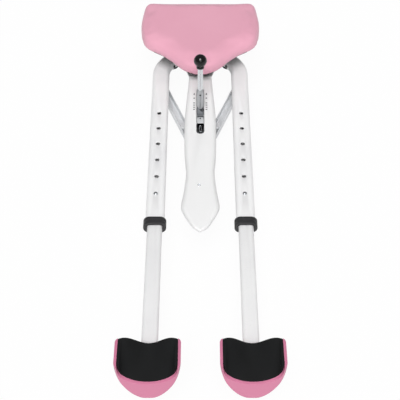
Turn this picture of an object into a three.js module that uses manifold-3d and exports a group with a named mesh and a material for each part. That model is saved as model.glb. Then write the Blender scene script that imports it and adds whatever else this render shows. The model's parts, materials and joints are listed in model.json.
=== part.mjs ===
// Leg stretching machine: a padded seat, two hinged telescoping legs with foot cups, and a hand
// lever that ratchets a toothed rack along a centre rail to swing the legs apart.
// Millimetres, +Z up. The user sits on the seat and looks along -Y. The left side is -X.

import * as THREE from 'three';
import { mergeVertices } from 'three/addons/utils/BufferGeometryUtils.js';
import Module from 'manifold-3d';

const wasm = await Module();
wasm.setup();

// Driving sizes. Heights are above the floor, and places along Y are from the leg pivots.

const fitGap = 0.3; // between pieces that touch or are fastened
const slideGap = 1; // between pieces that slide on each other
const overrun = 2; // how far a cut runs past the face that it opens

const leg = {
  pivotSpacing: 72,
  spacing: 190,
  cornerFromPivot: 103,
  bendRadius: 78,
  kneeAcrossShare: 0.425,
  kneeAlongShare: 0.67,
  kneeRadius: 32,
  length: 632,
  width: 40,
  height: 22,
  cornerRadius: 9.5,
  wall: 2,
  bottom: 78,
  hubRadius: 17,
  hubHeight: 37,
};

const hole = { radius: 5, pitch: 52, count: 6, fromEnd: 84 };

const legBush = { radius: 9, wall: 2.4 };

const pivotBolt = { radius: 6, headRadius: 10, headHeight: 7, nutHeight: 9, threadPast: 2 };

const boltCap = { radius: 3.4, height: 2.8, seat: 1, bendShare: 0.8 };

const collar = { wall: 4, overlap: 13, lip: 5.5, cornerRadius: 13.5 };

const innerTube = { width: 31.5, height: 15, cornerRadius: 6.5, wall: 1.8, length: 523, endInside: 497 };

const button = { radius: 4.6, proud: 3, flangeRadius: 7, flange: 1.6, dome: 1.4 };

const cup = {
  width: 120,
  height: 80,
  bottom: 62,
  pastTube: 13,
  length: 84,
  endBulge: 9,
  cornerRadius: 14,
  farCornerRadius: 7,
  rim: 5,
  floorCut: 1.4,
};

const footPad = { nearDip: 34, farDip: 26, thickness: 7, roundness: 5, squareness: 2.5 };

const cupBolt = { radius: 4, headRadius: 7.5, headHeight: 4.5 };

const roller = {
  radius: 20,
  width: 18,
  sideGap: 1,
  boreRadius: 4.4,
  treadRound: 4,
  fromNearEnd: 52,
};

const rollerBracket = { width: 22, plate: 3, topPlate: 4, footRadius: 8 };

const rollerAxle = { radius: 4, headRadius: 6.5, headHeight: 4 };

const strut = {
  length: 156,
  angle: THREE.MathUtils.degToRad(20),
  width: 20,
  height: 14,
  wall: 2,
  bottom: 46,
  endRadius: 10,
  pastPin: 20,
};

const strutPin = { radius: 5, headRadius: 8.5, headHeight: 5.5, bossRadius: 7.4 };

const rail = { width: 44, wall: 2.5, bottom: 74, height: 29.4, front: 604, rear: 36, slotWidth: 13 };

const carriage = {
  blockLength: 28,
  plateThickness: 6,
  plateWidth: 18,
  plateBottom: 62.5,
  neckWidth: 10,
  blockHeight: 13,
};

const rack = { width: 12, height: 15, toothHeight: 4, pitch: 8, length: 292 };

const plates = {
  width: 124,
  thickness: 4,
  rear: 26,
  upperFront: 190,
  taperStart: 50,
  frontWidth: 36,
  lowerFront: 24,
  lowerTop: 66,
};

const footBar = { length: 176, depth: 24, height: 26, bottom: 14 };

const riser = { width: 72, depth: 18, wall: 4, front: 132 };

const seat = {
  backWidth: 272,
  width: 292,
  back: 42,
  widestY: 45,
  cornerWidth: 272,
  cornerY: 113,
  waistWidth: 178,
  waistY: 142,
  noseWidth: 56,
  noseY: 213,
  cornerRadius: 34,
  waistRadius: 44,
};

const seatBoard = { thickness: 12, inset: 16, bottom: 138 };

const cushion = { thickness: 32, crown: 6, edgeRound: 12, drawIn: 3, sampleCount: 48 };

const seatBolt = { radius: 3, headRadius: 6, headHeight: 4, spacing: 52, depth: 8 };

const rubberFoot = { radius: 16, height: 13.7, chamfer: 2.5 };

const stand = { radius: 14, flangeRadius: 24, flange: 4, fromPivot: 530 };

const standFoot = { radius: 21, height: 16, seatDepth: 10 };

const housing = {
  rear: 174,
  tip: 684,
  keelTip: 630,
  width: 81,
  bottom: 71,
  top: 125,
  wall: 2.5,
  edgeRadius: 13,
  ribThickness: 3,
  sampleCount: 56,
};

const slot = { width: 17.6, rear: 226, front: 386 };

const axle = { y: 312, z: 113, radius: 4, pinRadius: 2.5 };

const lever = {
  lean: THREE.MathUtils.degToRad(16.5),
  hubRadius: 9,
  width: 14,
  depth: 11,
  ferruleRadius: 7.5,
  ferruleStart: 22,
  forkLength: 66,
  rodRadius: 6,
  rodLength: 72,
  socketDepth: 16,
  collarRadius: 8.6,
  collarHeight: 7,
  knobRadius: 14.6,
};

const pawl = { thickness: 6, fromAxle: 12, eyeRadius: 4.4, reach: 15.6, cheekGap: 0.4 };

const holdingPawl = { y: 366, z: 111, reach: 22, eyeRadius: 5.5, tailReach: 9, thickness: 7 };

const bracket = {
  plate: 3,
  earThickness: 3,
  front: 384,
  rear: 280,
  cheekTop: 115,
  bridgeFromAxle: 11,
  bridgeLength: 12,
};

// Places worked out from the sizes.

const pivotX = leg.pivotSpacing / 2;
const legX = leg.spacing / 2;
const legTop = leg.bottom + leg.height;
const legMiddle = leg.bottom + leg.height / 2;
const knee = {
  x: pivotX + leg.kneeAcrossShare * (legX - pivotX),
  y: -leg.kneeAlongShare * leg.cornerFromPivot,
};
const hubTurn = Math.atan2(knee.x - pivotX, -knee.y);
const bendTurn = Math.atan2(legX - knee.x, knee.y + leg.cornerFromPivot);
const bendCentre = {
  x: legX - leg.bendRadius,
  y: -leg.cornerFromPivot - leg.bendRadius * Math.tan(bendTurn / 2),
};
const strutPivot = {
  x: pivotX + strut.length * Math.sin(strut.angle),
  y: -strut.length * Math.cos(strut.angle),
};
const carriageY = 2 * strutPivot.y;
const lowestHoleY = -(leg.length - hole.fromEnd);
const innerTubeEndY = -(innerTube.endInside + innerTube.length);
const cupNearEnd = cup.pastTube - innerTubeEndY;
const railTop = rail.bottom + rail.height;
const upperPlateBottom = railTop + fitGap;
const upperPlateTop = upperPlateBottom + plates.thickness;
const lowerPlateBottom = plates.lowerTop - plates.thickness;
const hubBottom = plates.lowerTop + fitGap;
const hubTop = hubBottom + leg.hubHeight - fitGap;
const carriageBlockBottom = rail.bottom + rail.wall + fitGap;
const rollerY = -(cupNearEnd - roller.fromNearEnd);
const cupX = legX;
const cushionBottom = seatBoard.bottom + seatBoard.thickness + fitGap;
const wholeBack = seat.back;
const wholeFront = -cupNearEnd;
const middleY = (wholeBack + wholeFront) / 2;

// Materials of the pieces.

function material(color, roughness, metalness) {
  return new THREE.MeshStandardMaterial({ color, roughness, metalness });
}

const finish = {
  whiteSteel: () => material(0xf1f1f1, 0.35, 0.1),
  whiteCover: () => material(0xf2f2f2, 0.45, 0),
  greySteel: () => material(0xa9adb3, 0.35, 0.8),
  brightSteel: () => material(0xd4d7da, 0.2, 1),
  darkSteel: () => material(0x3a3b3d, 0.5, 0.7),
  blackPlastic: () => material(0x1c1c1e, 0.45, 0),
  glossBlack: () => material(0x141416, 0.12, 0),
  rubber: () => material(0x202022, 0.85, 0),
  foam: () => material(0x272729, 0.8, 0),
  pinkVinyl: () => material(0xe4a7b9, 0.5, 0),
  pinkShell: () => material(0xe08aac, 0.45, 0),
  plywood: () => material(0x2b2a2b, 0.7, 0),
};

// Solids: three.js shapes a geometry, and the boolean library joins and cuts it.

function signedVolume(positions, triangles) {
  const corners = [new THREE.Vector3(), new THREE.Vector3(), new THREE.Vector3()];
  let volume = 0;
  for (let start = 0; start < triangles.length; start += corners.length) {
    corners.forEach((corner, index) => corner.fromArray(positions, triangles[start + index] * 3));
    volume += corners[0].dot(corners[1].clone().cross(corners[2]));
  }
  return volume;
}

function solidOf(geometry) {
  geometry.deleteAttribute('normal');
  geometry.deleteAttribute('uv');
  const merged = mergeVertices(geometry, 1e-4);
  const vertProperties = new Float32Array(merged.attributes.position.array);
  const triVerts = new Uint32Array(merged.index.array);
  if (signedVolume(vertProperties, triVerts) < 0) triVerts.reverse();
  return new wasm.Manifold(new wasm.Mesh({ numProp: 3, vertProperties, triVerts }));
}

function geometryOf(solid) {
  const mesh = solid.getMesh();
  const geometry = new THREE.BufferGeometry();
  geometry.setAttribute('position', new THREE.BufferAttribute(mesh.vertProperties, 3));
  geometry.setIndex(new THREE.BufferAttribute(mesh.triVerts, 1));
  return geometry;
}

const joined = (...solids) => solids.reduce((whole, solid) => whole.add(solid));
const cutBy = (solid, ...tools) => tools.reduce((rest, tool) => rest.subtract(tool), solid);

function prism(shape, bottom, top, curveSegments = 6) {
  const geometry = new THREE.ExtrudeGeometry(shape, {
    depth: top - bottom,
    bevelEnabled: false,
    curveSegments,
  });
  return solidOf(geometry.translate(0, 0, bottom));
}

function box(fromX, toX, fromY, toY, bottom, top) {
  const geometry = new THREE.BoxGeometry(toX - fromX, toY - fromY, top - bottom);
  return solidOf(geometry.translate((fromX + toX) / 2, (fromY + toY) / 2, (bottom + top) / 2));
}

function post(x, y, bottom, top, radius, sides = 16) {
  const geometry = new THREE.CylinderGeometry(radius, radius, top - bottom, sides);
  return solidOf(geometry.rotateX(Math.PI / 2).translate(x, y, (bottom + top) / 2));
}

function crossRod(fromX, toX, y, z, radius, sides = 12) {
  const geometry = new THREE.CylinderGeometry(radius, radius, toX - fromX, sides);
  return solidOf(geometry.rotateZ(Math.PI / 2).translate((fromX + toX) / 2, y, z));
}

function longRod(x, fromY, toY, z, radius, sides = 12) {
  const geometry = new THREE.CylinderGeometry(radius, radius, toY - fromY, sides);
  return solidOf(geometry.translate(x, (fromY + toY) / 2, z));
}

function turned(profile, sides = 20) {
  const geometry = new THREE.LatheGeometry(profile.map(([r, z]) => new THREE.Vector2(r, z)), sides);
  return geometry.rotateX(Math.PI / 2);
}

// A closed solid through rings of points, each ring with as many points as the first.
function loft(rings) {
  const count = rings[0].length;
  const positions = rings.flat().flatMap((point) => point.toArray());
  const triangles = [];
  for (let ring = 0; ring + 1 < rings.length; ring += 1) {
    for (let index = 0; index < count; index += 1) {
      const next = (index + 1) % count;
      const [a, b] = [ring * count + index, ring * count + next];
      const [c, d] = [a + count, b + count];
      triangles.push(a, b, c, b, d, c);
    }
  }
  capRing(positions, triangles, rings[0], 0, true);
  capRing(positions, triangles, rings.at(-1), (rings.length - 1) * count, false);
  const geometry = new THREE.BufferGeometry();
  geometry.setAttribute('position', new THREE.Float32BufferAttribute(positions, 3));
  geometry.setIndex(triangles);
  return solidOf(geometry);
}

function capRing(positions, triangles, ring, start, first) {
  const centre = ring.reduce((sum, point) => sum.add(point), new THREE.Vector3());
  centre.divideScalar(ring.length);
  const hub = positions.length / 3;
  positions.push(...centre.toArray());
  ring.forEach((_, index) => {
    const edge = [start + index, start + ((index + 1) % ring.length)];
    triangles.push(hub, ...(first ? edge.reverse() : edge));
  });
}

// Outline through corners [x, y, radius], rounded by a curve at each corner.
function roundedOutline(corners) {
  const shape = new THREE.Shape();
  const points = corners.map(([x, y]) => new THREE.Vector2(x, y));
  points.forEach((corner, index) => {
    const before = points.at(index - 1).clone().sub(corner);
    const after = points[(index + 1) % points.length].clone().sub(corner);
    const reach = Math.min(corners[index][2], before.length() / 2, after.length() / 2);
    const start = corner.clone().add(before.setLength(reach));
    const end = corner.clone().add(after.setLength(reach));
    if (index === 0) shape.moveTo(start.x, start.y);
    else shape.lineTo(start.x, start.y);
    shape.quadraticCurveTo(corner.x, corner.y, end.x, end.y);
  });
  shape.closePath();
  return shape;
}

function roundedRectangle(width, height, radius) {
  const [x, y] = [width / 2, height / 2];
  const shape = new THREE.Shape();
  shape.moveTo(-x + radius, -y);
  shape.lineTo(x - radius, -y);
  shape.absarc(x - radius, -y + radius, radius, -Math.PI / 2, 0);
  shape.lineTo(x, y - radius);
  shape.absarc(x - radius, y - radius, radius, 0, Math.PI / 2);
  shape.lineTo(-x + radius, y);
  shape.absarc(-x + radius, y - radius, radius, Math.PI / 2, Math.PI);
  shape.lineTo(-x, -y + radius);
  shape.absarc(-x + radius, -y + radius, radius, Math.PI, 1.5 * Math.PI);
  return shape;
}

function capsule(from, to, radiusFrom, radiusTo = radiusFrom) {
  const away = Math.atan2(to[1] - from[1], to[0] - from[0]);
  const shape = new THREE.Shape();
  shape.absarc(from[0], from[1], radiusFrom, away + Math.PI / 2, away + 1.5 * Math.PI);
  shape.absarc(to[0], to[1], radiusTo, away - Math.PI / 2, away + Math.PI / 2);
  shape.closePath();
  return shape;
}

// Points of a closed ring, moved inwards along the outline's own normals.
function insetRing(points, inset) {
  return points.map((point, index) => {
    const along = points[(index + 1) % points.length].clone().sub(points.at(index - 1)).normalize();
    return new THREE.Vector2(point.x - along.y * inset, point.y + along.x * inset);
  });
}

const atHeight = (points, z) => points.map((point) => new THREE.Vector3(point.x, point.y, z));

function ringPoints(shape, count) {
  const points = shape.getSpacedPoints(count).slice(0, count);
  return THREE.ShapeUtils.isClockWise(points) ? points.reverse() : points;
}

// The leg's centre line: out from the pivot, round the knee and the bend, then straight.

function legStations(side, endY) {
  const corner = { x: legX, y: -leg.cornerFromPivot };
  const stations = [
    { x: pivotX, y: 0, turn: hubTurn },
    ...roundedCorner(knee, hubTurn, bendTurn, leg.kneeRadius, 1),
    ...roundedCorner(corner, bendTurn, 0, leg.bendRadius, 5),
    { x: legX, y: endY, turn: 0 },
  ];
  return stations.map(({ x, y, turn }) => ({ x: side * x, y, turn: side * turn }));
}

// Places on the arc that rounds a corner, between two directions measured from -Y.
function roundedCorner(corner, fromTurn, toTurn, radius, steps) {
  const way = Math.sign(toTurn - fromTurn);
  const tangent = radius * Math.tan(Math.abs(toTurn - fromTurn) / 2);
  const startX = corner.x - tangent * Math.sin(fromTurn);
  const startY = corner.y + tangent * Math.cos(fromTurn);
  return Array.from({ length: steps + 1 }, (_, step) => {
    const turn = fromTurn + (toTurn - fromTurn) * (step / steps);
    return {
      x: startX + way * radius * (Math.cos(fromTurn) - Math.cos(turn)),
      y: startY + way * radius * (Math.sin(fromTurn) - Math.sin(turn)),
      turn,
    };
  });
}

function tubeAlong(stations, width, height, radius, cornerSteps) {
  const section = roundedRectangle(width, height, radius).getPoints(cornerSteps).slice(1);
  return loft(stations.map(({ x, y, turn }) => section.map((point) => new THREE.Vector3(
    x + point.x * Math.cos(turn),
    y + point.x * Math.sin(turn),
    legMiddle + point.y,
  ))));
}

// A straight tube along Y between two places.
function straightBar(x, fromY, toY, width, height, radius, middle, corner = 3) {
  const geometry = new THREE.ExtrudeGeometry(roundedRectangle(width, height, radius), {
    depth: toY - fromY,
    bevelEnabled: false,
    curveSegments: corner,
  });
  return solidOf(geometry.rotateX(Math.PI / 2).translate(x, toY, middle));
}

// Base: upper and lower pivot plates, rear wall and foot bar, welded together.

function buildBaseFrame() {
  const half = plates.width / 2;
  const upper = prism(upperPlateOutline(), upperPlateBottom, upperPlateTop);
  const lower = box(-half, half, -plates.lowerFront, plates.rear, lowerPlateBottom, plates.lowerTop);
  const barTop = footBar.bottom + footBar.height;
  const wallFront = plates.rear - plates.thickness;
  const wall = box(-half, half, wallFront, plates.rear, barTop - overrun, upperPlateTop);
  const barHalf = footBar.length / 2;
  const barFront = plates.rear - footBar.depth;
  const bar = box(-barHalf, barHalf, barFront, plates.rear, footBar.bottom, barTop);
  const gussets = [-1, 1].map((side) => box(
    side * half - plates.thickness / 2,
    side * half + plates.thickness / 2,
    barFront,
    plates.rear,
    barTop - overrun,
    lowerPlateBottom + overrun,
  ));
  const risers = riserPlaces().map(buildRiser);
  const bores = [-1, 1].flatMap((side) => [
    post(side * pivotX, 0, upperPlateBottom - overrun, upperPlateTop + overrun,
      pivotBolt.radius + fitGap),
    post(side * pivotX, 0, lowerPlateBottom - overrun, plates.lowerTop + overrun,
      pivotBolt.radius + fitGap),
  ]);
  const frame = joined(upper, lower, wall, bar, ...gussets, ...risers);
  return cutBy(frame, ...bores, ...seatBoltPlaces().map(([x, y]) => post(
    x, y, upperPlateTop, seatBoard.bottom, seatBolt.radius + fitGap,
  )));
}

function upperPlateOutline() {
  const half = plates.width / 2;
  const frontHalf = plates.frontWidth / 2;
  return roundedOutline([
    [-half, plates.rear, plates.thickness],
    [-half, -plates.taperStart, plates.thickness],
    [-frontHalf, -plates.upperFront, plates.thickness],
    [frontHalf, -plates.upperFront, plates.thickness],
    [half, -plates.taperStart, plates.thickness],
    [half, plates.rear, plates.thickness],
  ]);
}

// Each riser is an angle whose web stands on the upper plate and whose flange turns inwards.
function riserPlaces() {
  return [{ webY: -riser.front, inwards: 1 }, { webY: plates.rear, inwards: -1 }];
}

function buildRiser({ webY, inwards }) {
  const half = riser.width / 2;
  const top = seatBoard.bottom - fitGap;
  const [webIn, flangeIn] = [webY + inwards * riser.wall, webY + inwards * riser.depth];
  const web = box(-half, half, Math.min(webY, webIn), Math.max(webY, webIn),
    upperPlateTop - plates.thickness / 2, top);
  return joined(web, box(-half, half, Math.min(webY, flangeIn), Math.max(webY, flangeIn),
    top - riser.wall, top));
}

function seatBoltPlaces() {
  const middle = (riser.depth + riser.wall) / 2;
  return riserPlaces().flatMap(({ webY, inwards }) => [-1, 1].map(
    (side) => [side * seatBolt.spacing / 2, webY + inwards * middle],
  ));
}

function buildSeatBolt([x, y]) {
  const headTop = seatBoard.bottom - fitGap - riser.wall - fitGap;
  const head = post(x, y, headTop - seatBolt.headHeight, headTop, seatBolt.headRadius, 6);
  const top = seatBoard.bottom + seatBolt.depth;
  return head.add(post(x, y, headTop - seatBolt.headHeight / 2, top, seatBolt.radius));
}

function buildRubberFoot(x, y) {
  const { radius, height, chamfer } = rubberFoot;
  const profile = [[0, 0], [radius - chamfer, 0], [radius, chamfer], [radius, height], [0, height]];
  return solidOf(turned(profile).translate(x, y, 0));
}

function buildPivotBolt(side) {
  const x = side * pivotX;
  const headTop = lowerPlateBottom - fitGap;
  const head = post(x, 0, headTop - pivotBolt.headHeight, headTop, pivotBolt.headRadius, 6);
  const top = upperPlateTop + fitGap + pivotBolt.nutHeight + pivotBolt.threadPast;
  return head.add(post(x, 0, headTop - pivotBolt.headHeight / 2, top, pivotBolt.radius));
}

function buildPivotNut(side) {
  const x = side * pivotX;
  const bottom = upperPlateTop + fitGap;
  const top = bottom + pivotBolt.nutHeight;
  const bore = post(x, 0, bottom - overrun, top + overrun, pivotBolt.radius + fitGap);
  return post(x, 0, bottom, top, pivotBolt.headRadius, 6).subtract(bore);
}

// Centre rail: an upright channel whose floor is slotted for the carriage's neck.

function buildRail() {
  const half = rail.width / 2;
  const inner = half - rail.wall;
  const body = box(-half, half, -rail.front, -rail.rear, rail.bottom, railTop);
  const hollow = box(-inner, inner, -rail.front + rail.wall, -rail.rear + overrun,
    rail.bottom + rail.wall, railTop + overrun);
  const slotHalf = rail.slotWidth / 2;
  const slotFront = carriageY - carriage.blockLength / 2 - slideGap;
  const floorSlot = box(-slotHalf, slotHalf, slotFront, -rail.rear + overrun,
    rail.bottom - overrun, rail.bottom + rail.wall + overrun);
  return cutBy(body, hollow, floorSlot);
}

// Carriage: a block in the rail, a neck through the slot and a cross plate for the struts.

function buildCarriage() {
  const halfLength = carriage.blockLength / 2;
  const blockHalf = rail.width / 2 - rail.wall - slideGap;
  const neckHalf = carriage.neckWidth / 2;
  const plateTop = carriage.plateBottom + carriage.plateThickness;
  const blockTop = carriageBlockBottom + carriage.blockHeight;
  const block = box(-blockHalf, blockHalf, carriageY - halfLength, carriageY + halfLength,
    carriageBlockBottom, blockTop);
  const neck = box(-neckHalf, neckHalf, carriageY - halfLength, carriageY + halfLength,
    plateTop - overrun, carriageBlockBottom + overrun);
  const plate = prism(
    capsule([-pivotX, carriageY], [pivotX, carriageY], carriage.plateWidth / 2),
    carriage.plateBottom,
    plateTop,
  );
  const bosses = [-1, 1].map((side) => strutBoss(side * pivotX, carriageY, plateTop - overrun));
  const bores = [-1, 1].map((side) => strutBore(side * pivotX, carriageY, plateTop + overrun));
  return cutBy(joined(block, neck, plate, ...bosses), ...bores);
}

function strutBoss(x, y, top) {
  return post(x, y, strut.bottom + strut.wall + fitGap, top, strutPin.bossRadius);
}

function strutBore(x, y, top) {
  return post(x, y, strut.bottom, top, strutPin.radius + fitGap);
}

// Rack: a bar with a saw tooth every pitch, steep on the side that the pawls push.
function buildRack() {
  const rearY = carriageY - carriage.blockLength / 2 - fitGap;
  const top = carriageBlockBottom + rack.height - rack.toothHeight;
  const shape = new THREE.Shape();
  shape.moveTo(rearY, carriageBlockBottom);
  shape.lineTo(rearY - rack.length, carriageBlockBottom);
  shape.lineTo(rearY - rack.length, top);
  const teeth = Math.floor(rack.length / rack.pitch);
  const firstTooth = rearY - rack.pitch * teeth;
  for (let tooth = 0; tooth < teeth; tooth += 1) {
    const start = firstTooth + tooth * rack.pitch;
    shape.lineTo(start, top);
    shape.lineTo(start, top + rack.toothHeight);
    shape.lineTo(start + rack.pitch / 5, top + rack.toothHeight);
  }
  shape.lineTo(rearY, top);
  shape.closePath();
  return lengthwise(shape, -rack.width / 2, rack.width / 2);
}

// A shape drawn in Y and Z, drawn out along X.
function lengthwise(shape, fromX, toX, curveSegments = 5) {
  const geometry = new THREE.ExtrudeGeometry(shape, {
    depth: toX - fromX,
    bevelEnabled: false,
    curveSegments,
  });
  return solidOf(geometry.rotateY(Math.PI / 2).rotateX(Math.PI / 2).translate(fromX, 0, 0));
}

function buildStrutPin(x, y, top) {
  const headTop = strut.bottom - fitGap;
  const head = post(x, y, headTop - strutPin.headHeight, headTop, strutPin.headRadius, 6);
  return head.add(post(x, y, headTop - strutPin.headHeight / 2, top, strutPin.radius));
}

// Strut: an open channel from under the leg to the carriage.
function buildStrut(side) {
  const from = [side * pivotX, carriageY];
  const to = [side * strutPivot.x, strutPivot.y];
  const tailShare = strut.pastPin / strut.length;
  const tail = from.map((place, axis) => place + (place - to[axis]) * tailShare);
  const top = strut.bottom + strut.height;
  const body = prism(capsule(tail, to, strut.endRadius), strut.bottom, top);
  const hollow = prism(
    capsule(tail, to, strut.width / 2 - strut.wall),
    strut.bottom + strut.wall,
    top + overrun,
  );
  const bores = [from, to].map(([x, y]) => strutBore(x, y, top).translate([0, 0, -overrun]));
  return cutBy(body, hollow, ...bores);
}

// Outer tube of a leg, with its hub at the pivot, the strut's boss and the row of holes.

function buildOuterTube(side) {
  const endY = -leg.length;
  const outside = tubeAlong(legStations(side, endY), leg.width, leg.height, leg.cornerRadius, 3);
  const inside = tubeAlong(legStations(side, endY - overrun), leg.width - 2 * leg.wall,
    leg.height - 2 * leg.wall, leg.cornerRadius - leg.wall, 2);
  const eye = post(side * pivotX, 0, leg.bottom, legTop, leg.width / 2);
  const hub = post(side * pivotX, 0, hubBottom, hubTop, leg.hubRadius);
  const hubBore = post(side * pivotX, 0, hubBottom - overrun, hubTop + overrun,
    legBush.radius + fitGap);
  const boss = strutBoss(side * strutPivot.x, strutPivot.y, leg.bottom + overrun);
  const bore = strutBore(side * strutPivot.x, strutPivot.y, leg.bottom + leg.wall + overrun);
  const capSeat = onBendInside(side, boltCap.radius + fitGap, -boltCap.seat, overrun);
  const shell = joined(outside.subtract(inside), eye, hub, boss);
  return cutBy(shell, hubBore, bore, capSeat, ...holePlaces().map((y) => post(
    side * legX, y, legMiddle, legTop + overrun, hole.radius, 14,
  )));
}

function holePlaces() {
  return Array.from({ length: hole.count }, (_, index) => lowestHoleY + index * hole.pitch);
}

function buildLegBush(side) {
  const x = side * pivotX;
  const bore = post(x, 0, hubBottom - overrun, hubTop + overrun, legBush.radius - legBush.wall);
  return post(x, 0, hubBottom, hubTop, legBush.radius).subtract(bore);
}

// A round piece that stands on the inner side of the bend, between two heights over it.
function onBendInside(side, radius, from, to, endRadius = radius) {
  const geometry = new THREE.CylinderGeometry(endRadius, radius, to - from, 14);
  const innerRadius = leg.bendRadius - leg.width / 2;
  const turn = boltCap.bendShare * bendTurn;
  geometry.rotateZ(Math.PI / 2).translate(innerRadius - (from + to) / 2, 0, 0);
  geometry.rotateZ(side > 0 ? turn : Math.PI - turn);
  return solidOf(geometry.translate(side * bendCentre.x, bendCentre.y, legMiddle));
}

function buildBoltCap(side) {
  const { radius, height, seat } = boltCap;
  const bottom = fitGap - seat;
  const middle = (bottom + height) / 2;
  return joined(
    onBendInside(side, radius, bottom, middle),
    onBendInside(side, radius, middle - fitGap, height, radius / 2),
  );
}

// Collar: a plastic sleeve over the outer tube's end that also guides the inner tube.
function buildCollar(side) {
  const x = side * legX;
  const rearY = -leg.length + collar.overlap;
  const frontY = -leg.length - collar.lip;
  const width = leg.width + 2 * collar.wall;
  const height = leg.height + 2 * collar.wall;
  const body = straightBar(x, frontY, rearY, width, height, collar.cornerRadius, legMiddle);
  const tubeRoom = straightBar(x, -leg.length - fitGap, rearY + overrun,
    leg.width + 2 * fitGap, leg.height + 2 * fitGap, leg.cornerRadius + fitGap, legMiddle);
  const guide = straightBar(x, frontY - overrun, -leg.length, innerTube.width + 2 * fitGap,
    innerTube.height + 2 * fitGap, innerTube.cornerRadius + fitGap, legMiddle);
  return cutBy(body, tubeRoom, guide);
}

// Inner tube: slides in the outer tube and carries the foot cup.
function buildInnerTube(side) {
  const x = side * legX;
  const rearY = -innerTube.endInside;
  const { width, height, wall, cornerRadius } = innerTube;
  const body = straightBar(x, innerTubeEndY, rearY, width, height, cornerRadius, legMiddle);
  const inside = straightBar(x, innerTubeEndY - overrun, rearY + overrun, width - 2 * wall,
    height - 2 * wall, cornerRadius - wall, legMiddle);
  const hollowTop = legMiddle + height / 2;
  const buttonHole = post(x, lowestHoleY, legMiddle, hollowTop + overrun, button.radius + fitGap);
  const boltHole = post(x, rollerY, legMiddle - height, legMiddle, cupBolt.radius + fitGap);
  return cutBy(body, inside, buttonHole, boltHole);
}

// Snap button: a domed pin through both tubes, with a flange that stays inside.
function buildSnapButton(side) {
  const inside = legMiddle + innerTube.height / 2 - innerTube.wall - fitGap;
  const top = legTop + button.proud;
  const { radius, flangeRadius, flange, dome } = button;
  const profile = [
    [0, inside - flange],
    [flangeRadius, inside - flange],
    [flangeRadius, inside],
    [radius, inside],
    [radius, top - dome],
    [radius - dome, top],
    [0, top],
  ];
  return solidOf(turned(profile).translate(side * legX, lowestHoleY, 0));
}

// Foot cup: a half-round block with a scooped top, bulged ends and a socket for the tube.

const cupSide = { power: 1.45, steps: 24 };

// The cup's section: sides that close in towards a round bottom.
function cupSection() {
  const half = cup.width / 2;
  const rimZ = cup.bottom + cup.height;
  const points = [];
  for (let step = 0; step <= cupSide.steps; step += 1) {
    const turn = (step / cupSide.steps) * Math.PI;
    const depthShare = Math.sin(turn) ** (2 / cupSide.power);
    points.push(new THREE.Vector2(half * Math.cos(turn), rimZ - cup.height * depthShare));
  }
  return new THREE.Shape(points);
}

// How deep the trough is across its width: squarish at the near end, a soft wave at the far end.
const troughShares = {
  near: (across) => (1 - Math.abs(across) ** footPad.squareness) ** (1 / footPad.squareness),
  far: (across) => (1 + Math.cos(Math.PI * across)) / 2,
};

function troughRing(y, inset, dip, shareAt, top) {
  const half = cup.width / 2 - inset;
  const rimZ = cup.bottom + cup.height;
  const steps = 20;
  const points = [];
  for (let step = 0; step <= steps; step += 1) {
    const across = -Math.cos((step / steps) * Math.PI);
    points.push(new THREE.Vector3(half * across, y, rimZ - dip * shareAt(across)));
  }
  points.push(new THREE.Vector3(half, y, top), new THREE.Vector3(-half, y, top));
  return points;
}

// The room over the trough, lowered by depth and narrowed by inset, past both ends of the cup.
function troughRoom(inset, depth, top) {
  const { nearDip, farDip } = footPad;
  const nearY = -cupNearEnd - overrun;
  const farY = -cupNearEnd + cup.length + overrun;
  return loft([
    troughRing(farY, inset, farDip + depth, troughShares.far, top),
    troughRing(nearY, inset, nearDip + depth, troughShares.near, top),
  ]);
}

function cupPlan(inset) {
  const half = cup.width / 2 - inset;
  const near = -cupNearEnd + cup.endBulge;
  const far = -cupNearEnd + cup.length - cup.endBulge;
  const shape = new THREE.Shape();
  shape.moveTo(-half, (near + far) / 2);
  addCupEnd(shape, half, far, cup.farCornerRadius - inset, 1);
  addCupEnd(shape, half, near, cup.cornerRadius - inset, -1);
  shape.closePath();
  return shape;
}

// One bulged end of the plan, from corner to corner. way is 1 at the far end, -1 at the near one.
function addCupEnd(shape, half, y, corner, way) {
  const lean = corner * cup.endBulge / half;
  const bulge = 2 * cup.endBulge - lean;
  shape.lineTo(-way * half, y - way * corner);
  shape.quadraticCurveTo(-way * half, y, way * (corner - half), y + way * lean);
  shape.quadraticCurveTo(0, y + way * bulge, way * (half - corner), y + way * lean);
  shape.quadraticCurveTo(way * half, y, way * half, y - way * corner);
}

// A shape drawn in X and Z, drawn out along Y past both ends of the cup.
function alongCup(shape) {
  const geometry = new THREE.ExtrudeGeometry(shape, {
    depth: cup.length + 2 * overrun,
    bevelEnabled: false,
  });
  return solidOf(geometry.rotateX(Math.PI / 2).translate(0, -cupNearEnd + cup.length + overrun, 0));
}

// The cup's plan moved in from the near end, so that what fills it stops at the near lip.
function behindLip(inset, clearance, bottom, top) {
  return prism(cupPlan(inset), bottom, top).translate([0, cup.rim + clearance, 0]);
}

function buildCup(side) {
  const rimZ = cup.bottom + cup.height;
  const plan = prism(cupPlan(0), cup.bottom + cup.floorCut, rimZ, 5);
  const block = alongCup(cupSection()).intersect(plan);
  const trough = troughRoom(cup.rim, 0, rimZ + overrun);
  const pocket = troughRoom(cup.rim, footPad.thickness, rimZ + overrun)
    .intersect(behindLip(cup.rim, 0, cup.bottom, rimZ + overrun));
  const socket = straightBar(0, innerTubeEndY - fitGap, -cupNearEnd + cup.length + overrun,
    innerTube.width + 2 * fitGap, innerTube.height + 2 * fitGap, innerTube.cornerRadius + fitGap,
    legMiddle);
  const boltHole = post(0, rollerY, cup.bottom - overrun, legMiddle, cupBolt.radius + fitGap);
  return cutBy(block, trough, pocket, socket, boltHole).translate([side * cupX, 0, 0]);
}

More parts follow.
